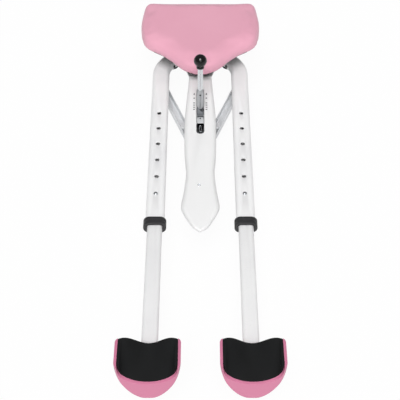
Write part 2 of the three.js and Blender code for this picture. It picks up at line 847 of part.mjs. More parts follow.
function buildFootPad(side) {
  const rimZ = cup.bottom + cup.height;
  const inset = cup.rim + fitGap;
  const slab = troughRoom(inset, footPad.thickness - fitGap, rimZ)
    .intersect(prism(cupPlan(inset), cup.bottom, rimZ))
    .intersect(behindLip(inset, fitGap, cup.bottom, rimZ));
  const trough = troughRoom(inset + footPad.roundness, 0, rimZ + overrun);
  return slab.subtract(trough).translate([side * cupX, 0, 0]);
}

// Roller under the cup, with its bracket, axle and the bolt that holds the bracket.

function buildRollerBracket(side) {
  const half = rollerBracket.width / 2;
  const cheekIn = roller.width / 2 + roller.sideGap;
  const cheekOut = cheekIn + rollerBracket.plate;
  const top = cup.bottom + cup.floorCut - fitGap;
  const under = top - rollerBracket.topPlate;
  const plate = box(-half, half, -cheekOut, cheekOut, under, top);
  const cheeks = [-1, 1].map((end) => {
    const inner = end > 0 ? cheekIn : -cheekOut;
    const eye = longRod(0, inner, inner + rollerBracket.plate, roller.radius,
      rollerBracket.footRadius);
    return joined(eye, box(-rollerBracket.footRadius, rollerBracket.footRadius, inner,
      inner + rollerBracket.plate, roller.radius, top - rollerBracket.topPlate / 2));
  });
  const axleBore = longRod(0, -cheekOut - overrun, cheekOut + overrun, roller.radius,
    rollerAxle.radius + fitGap);
  const boltBore = post(0, 0, under - overrun, top + overrun, cupBolt.radius + fitGap);
  const whole = cutBy(joined(plate, ...cheeks), axleBore, boltBore);
  return whole.translate([side * cupX, rollerY, 0]);
}

function buildCupBolt(side) {
  const x = side * cupX;
  const plateBottom = cup.bottom + cup.floorCut - fitGap - rollerBracket.topPlate;
  const headTop = plateBottom - fitGap;
  const head = post(x, rollerY, headTop - cupBolt.headHeight, headTop, cupBolt.headRadius, 6);
  const top = legMiddle - innerTube.height / 2 + innerTube.wall + cupBolt.radius;
  return head.add(post(x, rollerY, headTop - cupBolt.headHeight / 2, top, cupBolt.radius));
}

function buildRoller(side) {
  const { radius, width, boreRadius, treadRound } = roller;
  const half = width / 2;
  const profile = [
    [boreRadius, -half],
    [radius - treadRound, -half],
    [radius, -half + treadRound],
    [radius, half - treadRound],
    [radius - treadRound, half],
    [boreRadius, half],
    [boreRadius, -half],
  ];
  const wheel = turned(profile, 24).rotateX(Math.PI / 2);
  return solidOf(wheel.translate(side * cupX, rollerY, radius));
}

function buildRollerAxle(side) {
  const x = side * cupX;
  const reach = roller.width / 2 + roller.sideGap + rollerBracket.plate + fitGap;
  const { radius, headRadius, headHeight } = rollerAxle;
  const ends = [-1, 1].map((end) => {
    const inner = rollerY + end * reach;
    const outer = inner + end * headHeight;
    return longRod(x, Math.min(inner, outer), Math.max(inner, outer), roller.radius, headRadius, 6);
  });
  return joined(longRod(x, rollerY - reach, rollerY + reach, roller.radius, radius), ...ends);
}

// Seat: board, cushion and the outline that they share.

function seatOutline() {
  const right = [
    [seat.noseWidth / 2, -seat.noseY, seat.cornerRadius],
    [seat.waistWidth / 2, -seat.waistY, seat.waistRadius],
    [seat.cornerWidth / 2, -seat.cornerY, seat.cornerRadius],
    [seat.width / 2, -seat.widestY, seat.waistRadius],
    [seat.backWidth / 2, seat.back, seat.cornerRadius / 2],
  ];
  const left = right.map(([x, y, radius]) => [-x, y, radius]).reverse();
  return roundedOutline([...right, ...left]);
}

function buildSeatBoard() {
  const points = insetRing(ringPoints(seatOutline(), cushion.sampleCount), seatBoard.inset);
  const board = loft([
    atHeight(points, seatBoard.bottom),
    atHeight(points, seatBoard.bottom + seatBoard.thickness),
  ]);
  return cutBy(board, ...seatBoltPlaces().map(([x, y]) => post(
    x, y, seatBoard.bottom - overrun, seatBoard.bottom + seatBolt.depth + fitGap,
    seatBolt.radius + fitGap,
  )));
}

// Cushion: sides drawn in towards the board, a rounded top edge and a crowned middle.
function buildCushion() {
  const outline = ringPoints(seatOutline(), cushion.sampleCount);
  const { thickness, crown, edgeRound, drawIn } = cushion;
  const sideTop = cushionBottom + thickness - edgeRound;
  const rings = [
    atHeight(insetRing(outline, drawIn), cushionBottom),
    atHeight(insetRing(outline, drawIn / 4), cushionBottom + thickness / 5),
    atHeight(outline, (cushionBottom + sideTop) / 2),
    atHeight(insetRing(outline, drawIn / 8), sideTop),
  ];
  const edgeSteps = 4;
  for (let step = 1; step <= edgeSteps; step += 1) {
    const turn = (step / edgeSteps) * (Math.PI / 2);
    const inset = drawIn / 8 + edgeRound * (1 - Math.cos(turn));
    rings.push(atHeight(insetRing(outline, inset), sideTop + edgeRound * Math.sin(turn)));
  }
  const centre = new THREE.Vector2(0, (seat.back - seat.waistY) / 2);
  const brim = insetRing(outline, drawIn / 8 + edgeRound);
  for (const share of [0.8, 0.55, 0.25]) {
    const ring = brim.map((point) => centre.clone().lerp(point, share));
    rings.push(atHeight(ring, cushionBottom + thickness + crown * (1 - share * share)));
  }
  return loft(rings);
}

// Housing: a white cover over the rail that widens to a spear-shaped tip, and its floor.

// The nose rakes forwards like a bow, from keelTip at the bottom to tip at the top.
function housingTipAt(height) {
  const rise = (height - housing.bottom) / (housing.top - housing.bottom);
  return housing.keelTip + (housing.tip - housing.keelTip) * rise;
}

function housingOutline(height) {
  const tipY = -housingTipAt(height);
  const length = -tipY - housing.rear;
  const half = housing.width / 2;
  const profileShares = [
    [0, 0.66], [0.12, 0.745], [0.31, 0.875], [0.52, 0.86], [0.65, 0.76], [0.77, 0.87],
    [0.853, 1], [0.896, 0.88], [0.945, 0.6], [0.98, 0.34],
  ];
  const right = profileShares.map(([along, across]) => new THREE.Vector2(
    half * across, -housing.rear - length * along,
  ));
  const tip = new THREE.Vector2(0, tipY);
  const left = right.map((point) => new THREE.Vector2(-point.x, point.y)).reverse();
  const shape = new THREE.Shape();
  shape.moveTo(right[0].x, right[0].y);
  shape.splineThru([...right.slice(1), tip, ...left]);
  shape.closePath();
  return shape;
}

function housingRing(height, inset) {
  return insetRing(ringPoints(housingOutline(height), housing.sampleCount), inset);
}

function housingBlock(inset, bottom, top) {
  const round = housing.edgeRadius - inset;
  const rings = [atHeight(housingRing(bottom, inset), bottom)];
  const edgeSteps = 3;
  for (let step = 0; step <= edgeSteps; step += 1) {
    const turn = (step / edgeSteps) * (Math.PI / 2);
    const height = top - round + round * Math.sin(turn);
    rings.push(atHeight(housingRing(height, inset + round * (1 - Math.cos(turn))), height));
  }
  return loft(rings);
}

function slotCut(width, bottom, top) {
  const radius = width / 2;
  const shape = capsule([0, -slot.front + radius], [0, -slot.rear - radius], radius);
  return prism(shape, bottom, top, 8);
}

function buildHousingCover() {
  const outside = housingBlock(0, housing.bottom, housing.top);
  const inside = housingBlock(housing.wall, housing.bottom - overrun, housing.top - housing.wall);
  const rearDoor = box(-rail.width / 2 - fitGap, rail.width / 2 + fitGap,
    -housing.rear - 3 * housing.wall, -housing.rear + overrun, housing.bottom - overrun,
    upperPlateTop + fitGap);
  const plateRoom = box(-housing.width, housing.width, -plates.upperFront - fitGap,
    -housing.rear + overrun, upperPlateBottom - fitGap, upperPlateTop + fitGap);
  const ribs = coverRibPlaces().map((y) => housingBlock(housing.wall / 2, railTop + fitGap,
    housing.top - housing.wall / 2).intersect(box(-housing.width, housing.width,
    y - housing.ribThickness / 2, y + housing.ribThickness / 2, railTop + fitGap, housing.top)));
  const shell = cutBy(outside, inside, slotCut(slot.width, housing.top - 2 * housing.edgeRadius,
    housing.top + overrun));
  return cutBy(joined(shell, ...ribs), rearDoor, plateRoom);
}

function coverRibPlaces() {
  const afterSlot = slot.front + 2 * slot.width;
  return [-slot.rear + slot.width / 2, -afterSlot, -rail.front + housing.edgeRadius];
}

function buildHousingBase() {
  const whole = loft([housing.bottom, rail.bottom - fitGap].map((height) => (
    atHeight(housingRing(height, housing.wall + fitGap), height)
  )));
  const opening = box(-housing.width, housing.width, carriageY - carriage.blockLength,
    overrun, housing.bottom - overrun, rail.bottom + overrun);
  return whole.subtract(opening);
}

function buildStand() {
  const top = housing.bottom - fitGap;
  const bottom = standFoot.height - standFoot.seatDepth + fitGap;
  const flange = post(0, -stand.fromPivot, top - stand.flange, top, stand.flangeRadius, 24);
  return flange.add(post(0, -stand.fromPivot, bottom, top, stand.radius, 20));
}

function buildStandFoot() {
  const { radius, height, seatDepth } = standFoot;
  const { chamfer } = rubberFoot;
  const seatRadius = stand.radius + fitGap;
  const profile = [
    [0, 0],
    [radius - chamfer, 0],
    [radius, chamfer],
    [radius - chamfer, height],
    [seatRadius, height],
    [seatRadius, height - seatDepth],
    [0, height - seatDepth],
  ];
  return solidOf(turned(profile).translate(0, -stand.fromPivot, 0));
}

// Lever bracket: sits on the rail and holds the lever's axle and the holding pawl's pin.

function buildLeverBracket() {
  const half = rail.width / 2;
  const bottom = railTop + fitGap;
  const plate = box(-half, half, -bracket.front, -bracket.rear, bottom, bottom + bracket.plate);
  const gapHalf = lever.width / 2 + slideGap;
  const rim = 2 * bracket.plate;
  const window = box(-gapHalf, gapHalf, -bracket.front + rim, -bracket.rear - rim,
    bottom - overrun, bottom + bracket.plate + overrun);
  const ears = [-1, 1].flatMap((side) => {
    const fromX = side > 0 ? gapHalf : -gapHalf - bracket.earThickness;
    const toX = fromX + bracket.earThickness;
    return [
      lengthwise(bracketEar(axle.y, axle.z, lever.hubRadius - overrun), fromX, toX),
      lengthwise(bracketEar(holdingPawl.y, holdingPawl.z, holdingPawl.eyeRadius), fromX, toX),
    ];
  });
  const earFace = gapHalf + bracket.earThickness;
  const cheeks = [[-earFace, -gapHalf], [gapHalf, earFace]].map(([fromX, toX]) => box(
    fromX, toX, -holdingPawl.y, -axle.y, bottom, bracket.cheekTop,
  ));
  const bridgeRear = -axle.y - bracket.bridgeFromAxle;
  const bridge = box(-earFace, earFace, bridgeRear - bracket.bridgeLength, bridgeRear,
    bracket.cheekTop - bracket.plate, bracket.cheekTop);
  const earOut = earFace + overrun;
  return cutBy(
    joined(plate, ...ears, ...cheeks, bridge),
    window,
    crossRod(-earOut, earOut, -axle.y, axle.z, axle.radius + fitGap),
    crossRod(-earOut, earOut, -holdingPawl.y, holdingPawl.z, axle.pinRadius + fitGap),
  );
}

function bracketEar(y, z, radius) {
  const foot = railTop + fitGap + bracket.plate / 2;
  const shape = new THREE.Shape();
  shape.moveTo(-y - radius, foot);
  shape.lineTo(-y + radius, foot);
  shape.absarc(-y, z, radius, 0, Math.PI);
  shape.closePath();
  return shape;
}

function pinThroughEars(y, z, radius) {
  const reach = lever.width / 2 + slideGap + bracket.earThickness;
  const headInner = reach + fitGap;
  const headOuter = headInner + radius / 2;
  return joined(
    crossRod(-headInner, headInner, y, z, radius),
    crossRod(-headOuter, -headInner, y, z, radius + slideGap),
    crossRod(headInner, headOuter, y, z, radius + slideGap),
  );
}

// Lever pieces are made upright over the axle, then leaned back together.

function leaned(solid) {
  const degrees = THREE.MathUtils.radToDeg(lever.lean);
  return solid.rotate([-degrees, 0, 0]).translate([0, -axle.y, axle.z]);
}

function buildLeverFork() {
  const half = lever.width / 2;
  const tail = [0, -pawl.fromAxle];
  const side = joined(
    lengthwise(capsule([0, 0], tail, lever.hubRadius, pawl.eyeRadius + slideGap), -half, half),
    lengthwise(capsule([0, 0], [0, lever.ferruleStart], lever.depth / 2), -half, half),
  );
  const ferrule = post(0, 0, lever.ferruleStart, lever.forkLength, lever.ferruleRadius);
  const socket = post(0, 0, lever.forkLength - lever.socketDepth, lever.forkLength + overrun,
    lever.rodRadius + fitGap);
  const axleBore = crossRod(-half - overrun, half + overrun, 0, 0, axle.radius + fitGap);
  const pinBore = crossRod(-half - overrun, half + overrun, 0, -pawl.fromAxle,
    axle.pinRadius + fitGap);
  const pawlHalf = pawl.thickness / 2 + pawl.cheekGap;
  const pawlRoom = box(-pawlHalf, pawlHalf, -2 * lever.hubRadius, 2 * lever.hubRadius,
    -2 * pawl.fromAxle, -pawl.fromAxle + pawl.eyeRadius + slideGap);
  return leaned(cutBy(joined(side, ferrule), socket, axleBore, pinBore, pawlRoom));
}

const rodBottom = lever.forkLength - lever.socketDepth + fitGap;
const rodTop = rodBottom + lever.rodLength;
const leverCollarBottom = rodTop - lever.collarHeight;
const knobBottom = rodTop + fitGap;

function buildLeverRod() {
  return leaned(post(0, 0, rodBottom, rodTop, lever.rodRadius));
}

function buildKnobCollar() {
  const { collarRadius, collarHeight, rodRadius } = lever;
  const chamfer = collarHeight / 4;
  const bore = rodRadius + fitGap;
  const [low, high] = [leverCollarBottom, leverCollarBottom + collarHeight];
  return leaned(solidOf(turned([
    [bore, low],
    [collarRadius - chamfer, low],
    [collarRadius, low + chamfer],
    [collarRadius, high],
    [bore, high],
    [bore, low],
  ])));
}

function buildKnob() {
  const { knobRadius, collarRadius } = lever;
  const start = Math.asin(collarRadius / knobRadius);
  const drop = knobRadius * Math.cos(start);
  const steps = 9;
  const profile = [[0, knobBottom]];
  for (let step = 0; step < steps; step += 1) {
    const turn = start + (Math.PI - start) * (step / steps);
    const height = knobBottom + drop - knobRadius * Math.cos(turn);
    profile.push([knobRadius * Math.sin(turn), height]);
  }
  profile.push([0, knobBottom + drop + knobRadius]);
  return leaned(solidOf(turned(profile)));
}

function buildPawlPin() {
  const half = lever.width / 2 - fitGap;
  return leaned(crossRod(-half, half, 0, -pawl.fromAxle, axle.pinRadius));
}

// Drive pawl: hangs in the fork's tail and pushes the rack's teeth towards the seat.
function buildDrivePawl() {
  const half = pawl.thickness / 2;
  const claw = lengthwise(
    capsule([0, 0], [pawl.reach - slideGap, 0], pawl.eyeRadius, slideGap),
    -half,
    half,
  ).translate([0, 0, -pawl.fromAxle]);
  const bore = crossRod(-half - overrun, half + overrun, 0, -pawl.fromAxle,
    axle.pinRadius + fitGap);
  return leaned(claw.subtract(bore));
}

// Holding pawl: keeps the rack from running back, with a tail to lift it by.
function buildHoldingPawl() {
  const half = holdingPawl.thickness / 2;
  const tipDown = holdingPawl.z - carriageBlockBottom - rack.height - slideGap;
  const tipAlong = Math.sqrt(holdingPawl.reach ** 2 - tipDown ** 2);
  const arm = capsule([0, 0], [tipAlong, -tipDown + slideGap], holdingPawl.eyeRadius, slideGap);
  const tail = capsule([0, 0], [-holdingPawl.tailReach, holdingPawl.tailReach / 3],
    holdingPawl.eyeRadius, slideGap * 2);
  const bore = crossRod(-half - overrun, half + overrun, 0, 0, axle.pinRadius + fitGap);
  const body = joined(lengthwise(arm, -half, half), lengthwise(tail, -half, half));
  return body.subtract(bore).translate([0, -holdingPawl.y, holdingPawl.z]);
}

// The assembly, with the origin at the middle of the footprint on the floor.

const machine = new THREE.Group();
machine.name = 'leg_stretching_machine';
machine.position.set(0, -middleY, 0);

function place(name, solid, look) {
  const mesh = new THREE.Mesh(geometryOf(solid), look());
  mesh.name = name;
  machine.add(mesh);
}

function placeBase() {
  place('base_frame', buildBaseFrame(), finish.whiteSteel);
  place('center_rail', buildRail(), finish.greySteel);
  place('front_stand', buildStand(), finish.whiteSteel);
  place('front_foot', buildStandFoot(), finish.rubber);
  place('housing_cover', buildHousingCover(), finish.whiteCover);
  place('housing_base', buildHousingBase(), finish.blackPlastic);
  place('seat_board', buildSeatBoard(), finish.plywood);
  place('seat_cushion', buildCushion(), finish.pinkVinyl);
  seatBoltPlaces().forEach((spot, index) => {
    place(`seat_bolt_${index + 1}`, buildSeatBolt(spot), finish.brightSteel);
  });
}

function placeDrive() {
  place('lever_bracket', buildLeverBracket(), finish.darkSteel);
  place('lever_axle', pinThroughEars(-axle.y, axle.z, axle.radius), finish.brightSteel);
  const holdingPin = pinThroughEars(-holdingPawl.y, holdingPawl.z, axle.pinRadius);
  place('holding_pawl_pin', holdingPin, finish.brightSteel);
  place('holding_pawl', buildHoldingPawl(), finish.greySteel);
  place('lever_fork', buildLeverFork(), finish.brightSteel);
  place('lever_rod', buildLeverRod(), finish.brightSteel);
  place('knob_collar', buildKnobCollar(), finish.blackPlastic);
  place('lever_knob', buildKnob(), finish.glossBlack);
  place('pawl_pin', buildPawlPin(), finish.brightSteel);
  place('drive_pawl', buildDrivePawl(), finish.greySteel);
  place('carriage', buildCarriage(), finish.darkSteel);
  place('rack', buildRack(), finish.greySteel);
}

function placeLeg(side, suffix) {
  const footBarMiddle = plates.rear - footBar.depth / 2;
  const rubberX = side * (footBar.length / 2 - rubberFoot.radius);
  const legPinTop = leg.bottom + leg.wall;
  const carriagePinTop = carriage.plateBottom + carriage.plateThickness;
  place(`rear_foot_${suffix}`, buildRubberFoot(rubberX, footBarMiddle), finish.rubber);
  place(`pivot_bolt_${suffix}`, buildPivotBolt(side), finish.brightSteel);
  place(`pivot_nut_${suffix}`, buildPivotNut(side), finish.brightSteel);
  place(`leg_bush_${suffix}`, buildLegBush(side), finish.blackPlastic);
  place(`outer_tube_${suffix}`, buildOuterTube(side), finish.whiteSteel);
  place(`tube_collar_${suffix}`, buildCollar(side), finish.blackPlastic);
  place(`bolt_cap_${suffix}`, buildBoltCap(side), finish.blackPlastic);
  place(`strut_${suffix}`, buildStrut(side), finish.greySteel);
  const legPin = buildStrutPin(side * strutPivot.x, strutPivot.y, legPinTop);
  place(`leg_pin_${suffix}`, legPin, finish.brightSteel);
  const carriagePin = buildStrutPin(side * pivotX, carriageY, carriagePinTop);
  place(`carriage_pin_${suffix}`, carriagePin, finish.brightSteel);
}

function placeExtension(side, suffix) {
  place(`inner_tube_${suffix}`, buildInnerTube(side), finish.whiteSteel);
  place(`snap_button_${suffix}`, buildSnapButton(side), finish.brightSteel);
  place(`foot_cup_${suffix}`, buildCup(side), finish.pinkShell);
  place(`foot_pad_${suffix}`, buildFootPad(side), finish.foam);
  place(`cup_bolt_${suffix}`, buildCupBolt(side), finish.brightSteel);
  place(`roller_bracket_${suffix}`, buildRollerBracket(side), finish.greySteel);
  place(`roller_axle_${suffix}`, buildRollerAxle(side), finish.brightSteel);
  place(`roller_${suffix}`, buildRoller(side), finish.rubber);
}

placeBase();
placeDrive();
for (const [side, suffix] of [[-1, 'left'], [1, 'right']]) {
  placeLeg(side, suffix);
  placeExtension(side, suffix);
}

export default machine;
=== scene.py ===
import json
import math
from contextlib import contextmanager

import bmesh
import bpy
from mathutils import Matrix, Vector


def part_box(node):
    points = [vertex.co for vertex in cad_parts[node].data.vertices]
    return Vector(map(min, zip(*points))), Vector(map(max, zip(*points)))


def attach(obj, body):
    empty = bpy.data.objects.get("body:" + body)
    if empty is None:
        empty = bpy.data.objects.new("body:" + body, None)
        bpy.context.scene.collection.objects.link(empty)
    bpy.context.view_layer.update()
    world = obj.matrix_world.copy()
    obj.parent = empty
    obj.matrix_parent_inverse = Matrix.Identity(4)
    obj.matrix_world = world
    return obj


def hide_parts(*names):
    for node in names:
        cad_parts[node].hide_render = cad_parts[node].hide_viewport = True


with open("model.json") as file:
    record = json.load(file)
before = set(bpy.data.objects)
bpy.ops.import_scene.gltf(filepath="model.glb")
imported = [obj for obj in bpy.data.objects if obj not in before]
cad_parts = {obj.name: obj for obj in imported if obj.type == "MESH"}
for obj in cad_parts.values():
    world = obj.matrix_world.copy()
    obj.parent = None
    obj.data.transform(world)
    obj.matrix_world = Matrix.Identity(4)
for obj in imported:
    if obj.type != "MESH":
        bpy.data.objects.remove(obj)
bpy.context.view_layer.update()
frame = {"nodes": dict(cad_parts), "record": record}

MM = 0.001
SIDES = {"left": -1, "right": 1}

# Sizes, in metres. Places along Y are in the frame, heights are above the floor.
PIVOT_Y = 495.5 * MM
PIVOT_X = 36 * MM
LEG_X = 95 * MM
LEG_BOTTOM = 78 * MM
LEG_WIDTH = 40 * MM
LEG_HEIGHT = 22 * MM
LEG_CORNER = 9.5 * MM
LEG_WALL = 2 * MM
LEG_MIDDLE = LEG_BOTTOM + LEG_HEIGHT / 2
LEG_TOP = LEG_BOTTOM + LEG_HEIGHT
LEG_END = PIVOT_Y - 632 * MM
CORNER_Y = PIVOT_Y - 103 * MM
BEND_RADIUS = 78 * MM
KNEE_RADIUS = 32 * MM
KNEE_X_SHARE = 0.425
KNEE_Y_SHARE = 0.67
KNEE_X = PIVOT_X + KNEE_X_SHARE * (LEG_X - PIVOT_X)
KNEE_Y = PIVOT_Y + KNEE_Y_SHARE * (CORNER_Y - PIVOT_Y)
HUB_TURN = math.atan2(KNEE_X - PIVOT_X, PIVOT_Y - KNEE_Y)
BEND_TURN = math.atan2(LEG_X - KNEE_X, KNEE_Y - CORNER_Y)
BEND_CENTRE = Vector((LEG_X - BEND_RADIUS, CORNER_Y - BEND_RADIUS * math.tan(BEND_TURN / 2)))
HUB_BOTTOM = 66.3 * MM
HUB_TOP = 103 * MM
HUB_RADIUS = 17 * MM
BUSH_RADIUS = 9.3 * MM
STRUT_ANGLE = math.radians(20)
STRUT_LENGTH = 156 * MM
STRUT_BOTTOM = 46 * MM
STRUT_HEIGHT = 14 * MM
STRUT_RADIUS = 10 * MM
STRUT_WALL = 2 * MM
STRUT_TAIL = 20 * MM
STRUT_PIVOT_X = PIVOT_X + STRUT_LENGTH * math.sin(STRUT_ANGLE)
STRUT_PIVOT_Y = PIVOT_Y - STRUT_LENGTH * math.cos(STRUT_ANGLE)
PIN_RADIUS = 5.3 * MM
BOSS_RADIUS = 7.4 * MM
BOSS_BOTTOM = 48.3 * MM
HOLE_RADIUS = 5 * MM
HOLE_PITCH = 52 * MM
HOLE_COUNT = 6
BUTTON_Y = LEG_END + 84 * MM
INNER_WIDTH = 31.5 * MM
INNER_HEIGHT = 15 * MM
INNER_CORNER = 6.5 * MM
INNER_WALL = 1.8 * MM
GUIDE_ROOM = 1.2 * MM
AXLE_Y = PIVOT_Y - 312 * MM
AXLE_Z = 113 * MM
LEVER_LEAN = math.radians(16.5)

# A gap between pieces that fit together, and how far a cutter goes past what it cuts.
FIT = 0.3 * MM
OVERRUN = 1 * MM
LONG_OVERRUN = 5 * MM

# How far the sharp edges of each piece are rounded.
ROUNDING = {
    "board": 1.2 * MM, "outer_tube": 0.5 * MM, "collar": 0.9 * MM, "inner_tube": 0.4 * MM,
    "strut": 0.6 * MM, "cup": 1.4 * MM, "pad": 1.4 * MM, "housing": 0.8 * MM, "fork": 0.5 * MM,
    "plate": 0.2 * MM,
}
CAD_ROUNDING = {
    "base_frame": 1.2 * MM, "carriage": 0.8 * MM, "center_rail": 0.6 * MM,
    "lever_bracket": 0.4 * MM, "rack": 0.3 * MM, "roller_bracket_left": 0.6 * MM,
    "roller_bracket_right": 0.6 * MM,
}
OTHER_ROUNDING = 0.35 * MM


# Camera first, at the photograph's viewing angle.

FRAME_PIXELS = 400
FOCAL_PIXELS = 984
SENSOR = 36
FAR_CLIP = 20
CAMERA_TILT = math.radians(46)
CAMERA_PLACE = Vector((-0.7 * MM, -1521.1 * MM, 1600.5 * MM))


def add_camera():
    data = bpy.data.cameras.new("camera")
    data.sensor_width = SENSOR
    data.lens = SENSOR * FOCAL_PIXELS / FRAME_PIXELS
    data.clip_end = FAR_CLIP
    camera = bpy.data.objects.new("camera", data)
    camera.location = CAMERA_PLACE
    camera.rotation_euler = (math.pi / 2 - CAMERA_TILT, 0, 0)
    bpy.context.scene.collection.objects.link(camera)
    bpy.context.scene.camera = camera


add_camera()


# Materials

def linear(red, green, blue):
    """A screen colour, 0 to 255, as the linear values that a shader takes."""
    def channel(value):
        value /= 255
        return value / 12.92 if value <= 0.04045 else ((value + 0.055) / 1.055) ** 2.4
    return (*(channel(value) for value in (red, green, blue)), 1)


def grey(level):
    return linear(level, level, level)


def shade(color, factor):
    return (*(min(1.0, channel * factor) for channel in color[:3]), 1)


WHITE = (1, 1, 1, 1)


class Shading:
    """The nodes of a material or of the world, while they are put together."""

    def __init__(self, owner, main="Principled BSDF"):
        owner.use_nodes = True
        self.owner = owner
        self.tree = owner.node_tree
        self.main = self.tree.nodes[main]

    def put(self, socket, value):
        """Sets a socket, or links it if the value is another node's output."""
        if isinstance(value, bpy.types.NodeSocket):
            self.tree.links.new(value, socket)
        else:
            socket.default_value = value

    def set(self, inputs, node=None):
        for name, value in inputs.items():
            self.put((node or self.main).inputs[name], value)

    def add(self, kind, inputs, output=0, **settings):
        """Adds a node and gives one of its outputs."""
        node = self.tree.nodes.new(kind)
        for name, value in settings.items():
            setattr(node, name, value)
        self.set(inputs, node)
        return node.outputs[output]

    def coordinates(self, stretch=(1, 1, 1)):
        """The object's own coordinates, in metres."""
        place = self.add("ShaderNodeTexCoord", {}, "Object")
        return self.add("ShaderNodeMapping", {"Vector": place, "Scale": stretch})

    def noise(self, vector, scale, detail=3.0, roughness=0.55):
        return self.add("ShaderNodeTexNoise", {"Vector": vector, "Scale": scale, "Detail": detail,
                                               "Roughness": roughness}, "Fac")

    def remap(self, value, low, high, start=0.3, end=0.7):
        return self.add("ShaderNodeMapRange", {"Value": value, "From Min": start, "From Max": end,
                                               "To Min": low, "To Max": high})

    def blend(self, amount, first, second):
        """Mixes two colours. A node that mixes them has its colour sockets at these numbers."""
        factor, color_a, color_b, color_out = 0, 6, 7, 2
        return self.add("ShaderNodeMix", {factor: amount, color_a: first, color_b: second},
                        color_out, data_type="RGBA")

    def bump(self, height, distance, strength=1.0, normal=None):
        inputs = {"Height": height, "Distance": distance, "Strength": strength}
        if normal is not None:
            inputs["Normal"] = normal
        return self.add("ShaderNodeBump", inputs)

    def seen_white(self, plain, kind, share, *rays):
        """Plain is what lights the object. The rays named see a white of a kind, by a share."""
        white = self.add(kind, {"Color": WHITE})
        seen = self.add("ShaderNodeLightPath", {}, rays[0])
        for ray in rays[1:]:
            other = self.add("ShaderNodeLightPath", {}, ray)
            seen = self.add("ShaderNodeMath", {0: seen, 1: other}, operation="MAXIMUM")
        amount = self.add("ShaderNodeMath", {0: seen, 1: share}, operation="MULTIPLY")
        return self.add("ShaderNodeMixShader", {0: amount, 1: plain, 2: white})


def surface(name):
    return Shading(bpy.data.materials.new(name))


def coated(name, color, roughness, metallic=0.0, tint=0.04, tint_scale=14.0, grain_scale=900.0,
           grain=0.00002, rough_swing=0.06, extra=None):
    """A painted, moulded or plated surface: slow colour drift, fine grain and uneven gloss."""
    look = surface(name)
    vector = look.coordinates()
    drift = look.noise(vector, tint_scale, 4)
    fine = look.noise(vector, grain_scale, 2)
    look.set({
        "Base Color": look.blend(look.remap(drift, 0, 1), shade(color, 1 - tint),
                                 shade(color, 1 + tint / 2)),
        "Roughness": look.remap(drift, roughness - rough_swing, roughness + rough_swing),
        "Normal": look.bump(fine, grain),
        "Metallic": metallic,
    })
    look.set(extra or {})
    return look.owner


def make_powder_coat():
    """White powder coat: orange peel, and a trace of grey where dust settles."""
    look = surface("white_powder_coat")
    vector = look.coordinates()
    peel = look.noise(vector, 420, 2, 0.4)
    drift = look.noise(vector, 9, 3)
    speck = look.noise(vector, 2600, 1)
    base = look.blend(look.remap(drift, 0, 1), linear(230, 230, 231), grey(238))
    dusty = look.remap(speck, 0, 0.12, 0.62, 0.8)
    look.set({
        "Base Color": look.blend(dusty, base, linear(206, 207, 208)),
        "Roughness": look.remap(peel, 0.27, 0.4),
        "Normal": look.bump(peel, 0.00006, 0.7),
        "Coat Weight": 0.15,
        "Coat Roughness": 0.2,
    })
    return look.owner


def make_vinyl():
    """Upholstery vinyl: pebbled grain with painted shade in its grooves, soft creases and a faint
    change of tone.
    """
    look = surface("pink_vinyl_cover")
    vector = look.coordinates()
    wobble = look.add("ShaderNodeTexNoise", {"Vector": vector, "Scale": 240}, "Color")
    warp = look.add("ShaderNodeVectorMath", {0: wobble, 1: (0.0016, 0.0016, 0.0016), 2: vector},
                    operation="MULTIPLY_ADD")
    pebble = look.add("ShaderNodeTexVoronoi", {"Vector": warp, "Scale": 620}, "Distance",
                      feature="DISTANCE_TO_EDGE")
    cell = look.remap(pebble, 0, 1, 0, 0.14)
    # The grain's grooves are painted darker pink: painted shade in the recesses.
    groove = look.remap(pebble, 0.16, 0, 0, 0.1)
    crease = look.noise(vector, 32, 4, 0.6)
    drift = look.noise(vector, 7, 3)
    base = look.blend(look.remap(drift, 0, 1), linear(228, 165, 185), linear(231, 170, 189))
    soft = look.bump(crease, 0.0007, 0.3)
    look.set({
        "Base Color": look.blend(groove, base, linear(196, 122, 146)),
        "Roughness": look.remap(crease, 0.4, 0.54),
        "Normal": look.bump(cell, 0.00012, 0.45, soft),
        "Sheen Weight": 0.08,
        "Specular IOR Level": 0.4,
    })
    return look.owner


def make_shell_pink():
    return coated("pink_shell_satin", linear(207, 122, 154), 0.42, 0, 0.03, 11, 1500, 0.000015,
                  extra={"Coat Weight": 0.12, "Coat Roughness": 0.3})


def make_foam():
    """Closed-cell foam with a skin of fine pores, whose pits are painted darker as painted shade.
    """
    look = surface("black_foam_skin")
    vector = look.coordinates()
    pores = look.add("ShaderNodeTexVoronoi", {"Vector": vector, "Scale": 850}, "Distance")
    drift = look.noise(vector, 18, 4)
    pit = look.remap(pores, 0, 1, 0.05, 0.5)
    base = look.blend(look.remap(drift, 0, 1), linear(17, 18, 19), linear(24, 25, 26))
    look.set({
        # The pore pits are painted near black: painted shade in the pores.
        "Base Color": look.blend(pit, linear(11, 12, 13), base),
        "Roughness": look.remap(drift, 0.72, 0.88),
        "Normal": look.bump(pit, 0.00015, 0.6),
        "Specular IOR Level": 0.25,
    })
    return look.owner


def make_brushed(name, color, roughness, metallic=1):
    """Steel drawn along Y, so its scratches run with the bar."""
    look = surface(name)
    fine = look.noise(look.coordinates((30, 1, 30)), 40, 5, 0.7)
    cloud = look.noise(look.coordinates(), 22, 3)
    base = look.blend(look.remap(fine, 0, 1), shade(color, 0.88), shade(color, 1.08))
    look.set({
        "Base Color": look.blend(look.remap(cloud, 0, 0.25), base, shade(color, 0.7)),
        "Roughness": look.remap(fine, roughness * 0.75, roughness * 1.3),
        "Normal": look.bump(fine, 0.00002, 0.5),
        "Metallic": metallic,
    })
    return look.owner


def make_zinc():
    """Dull zinc plating, paler than bare steel, with a fine drawn grain."""
    return make_brushed("zinc_steel", linear(226, 228, 230), 0.42, 0.2)


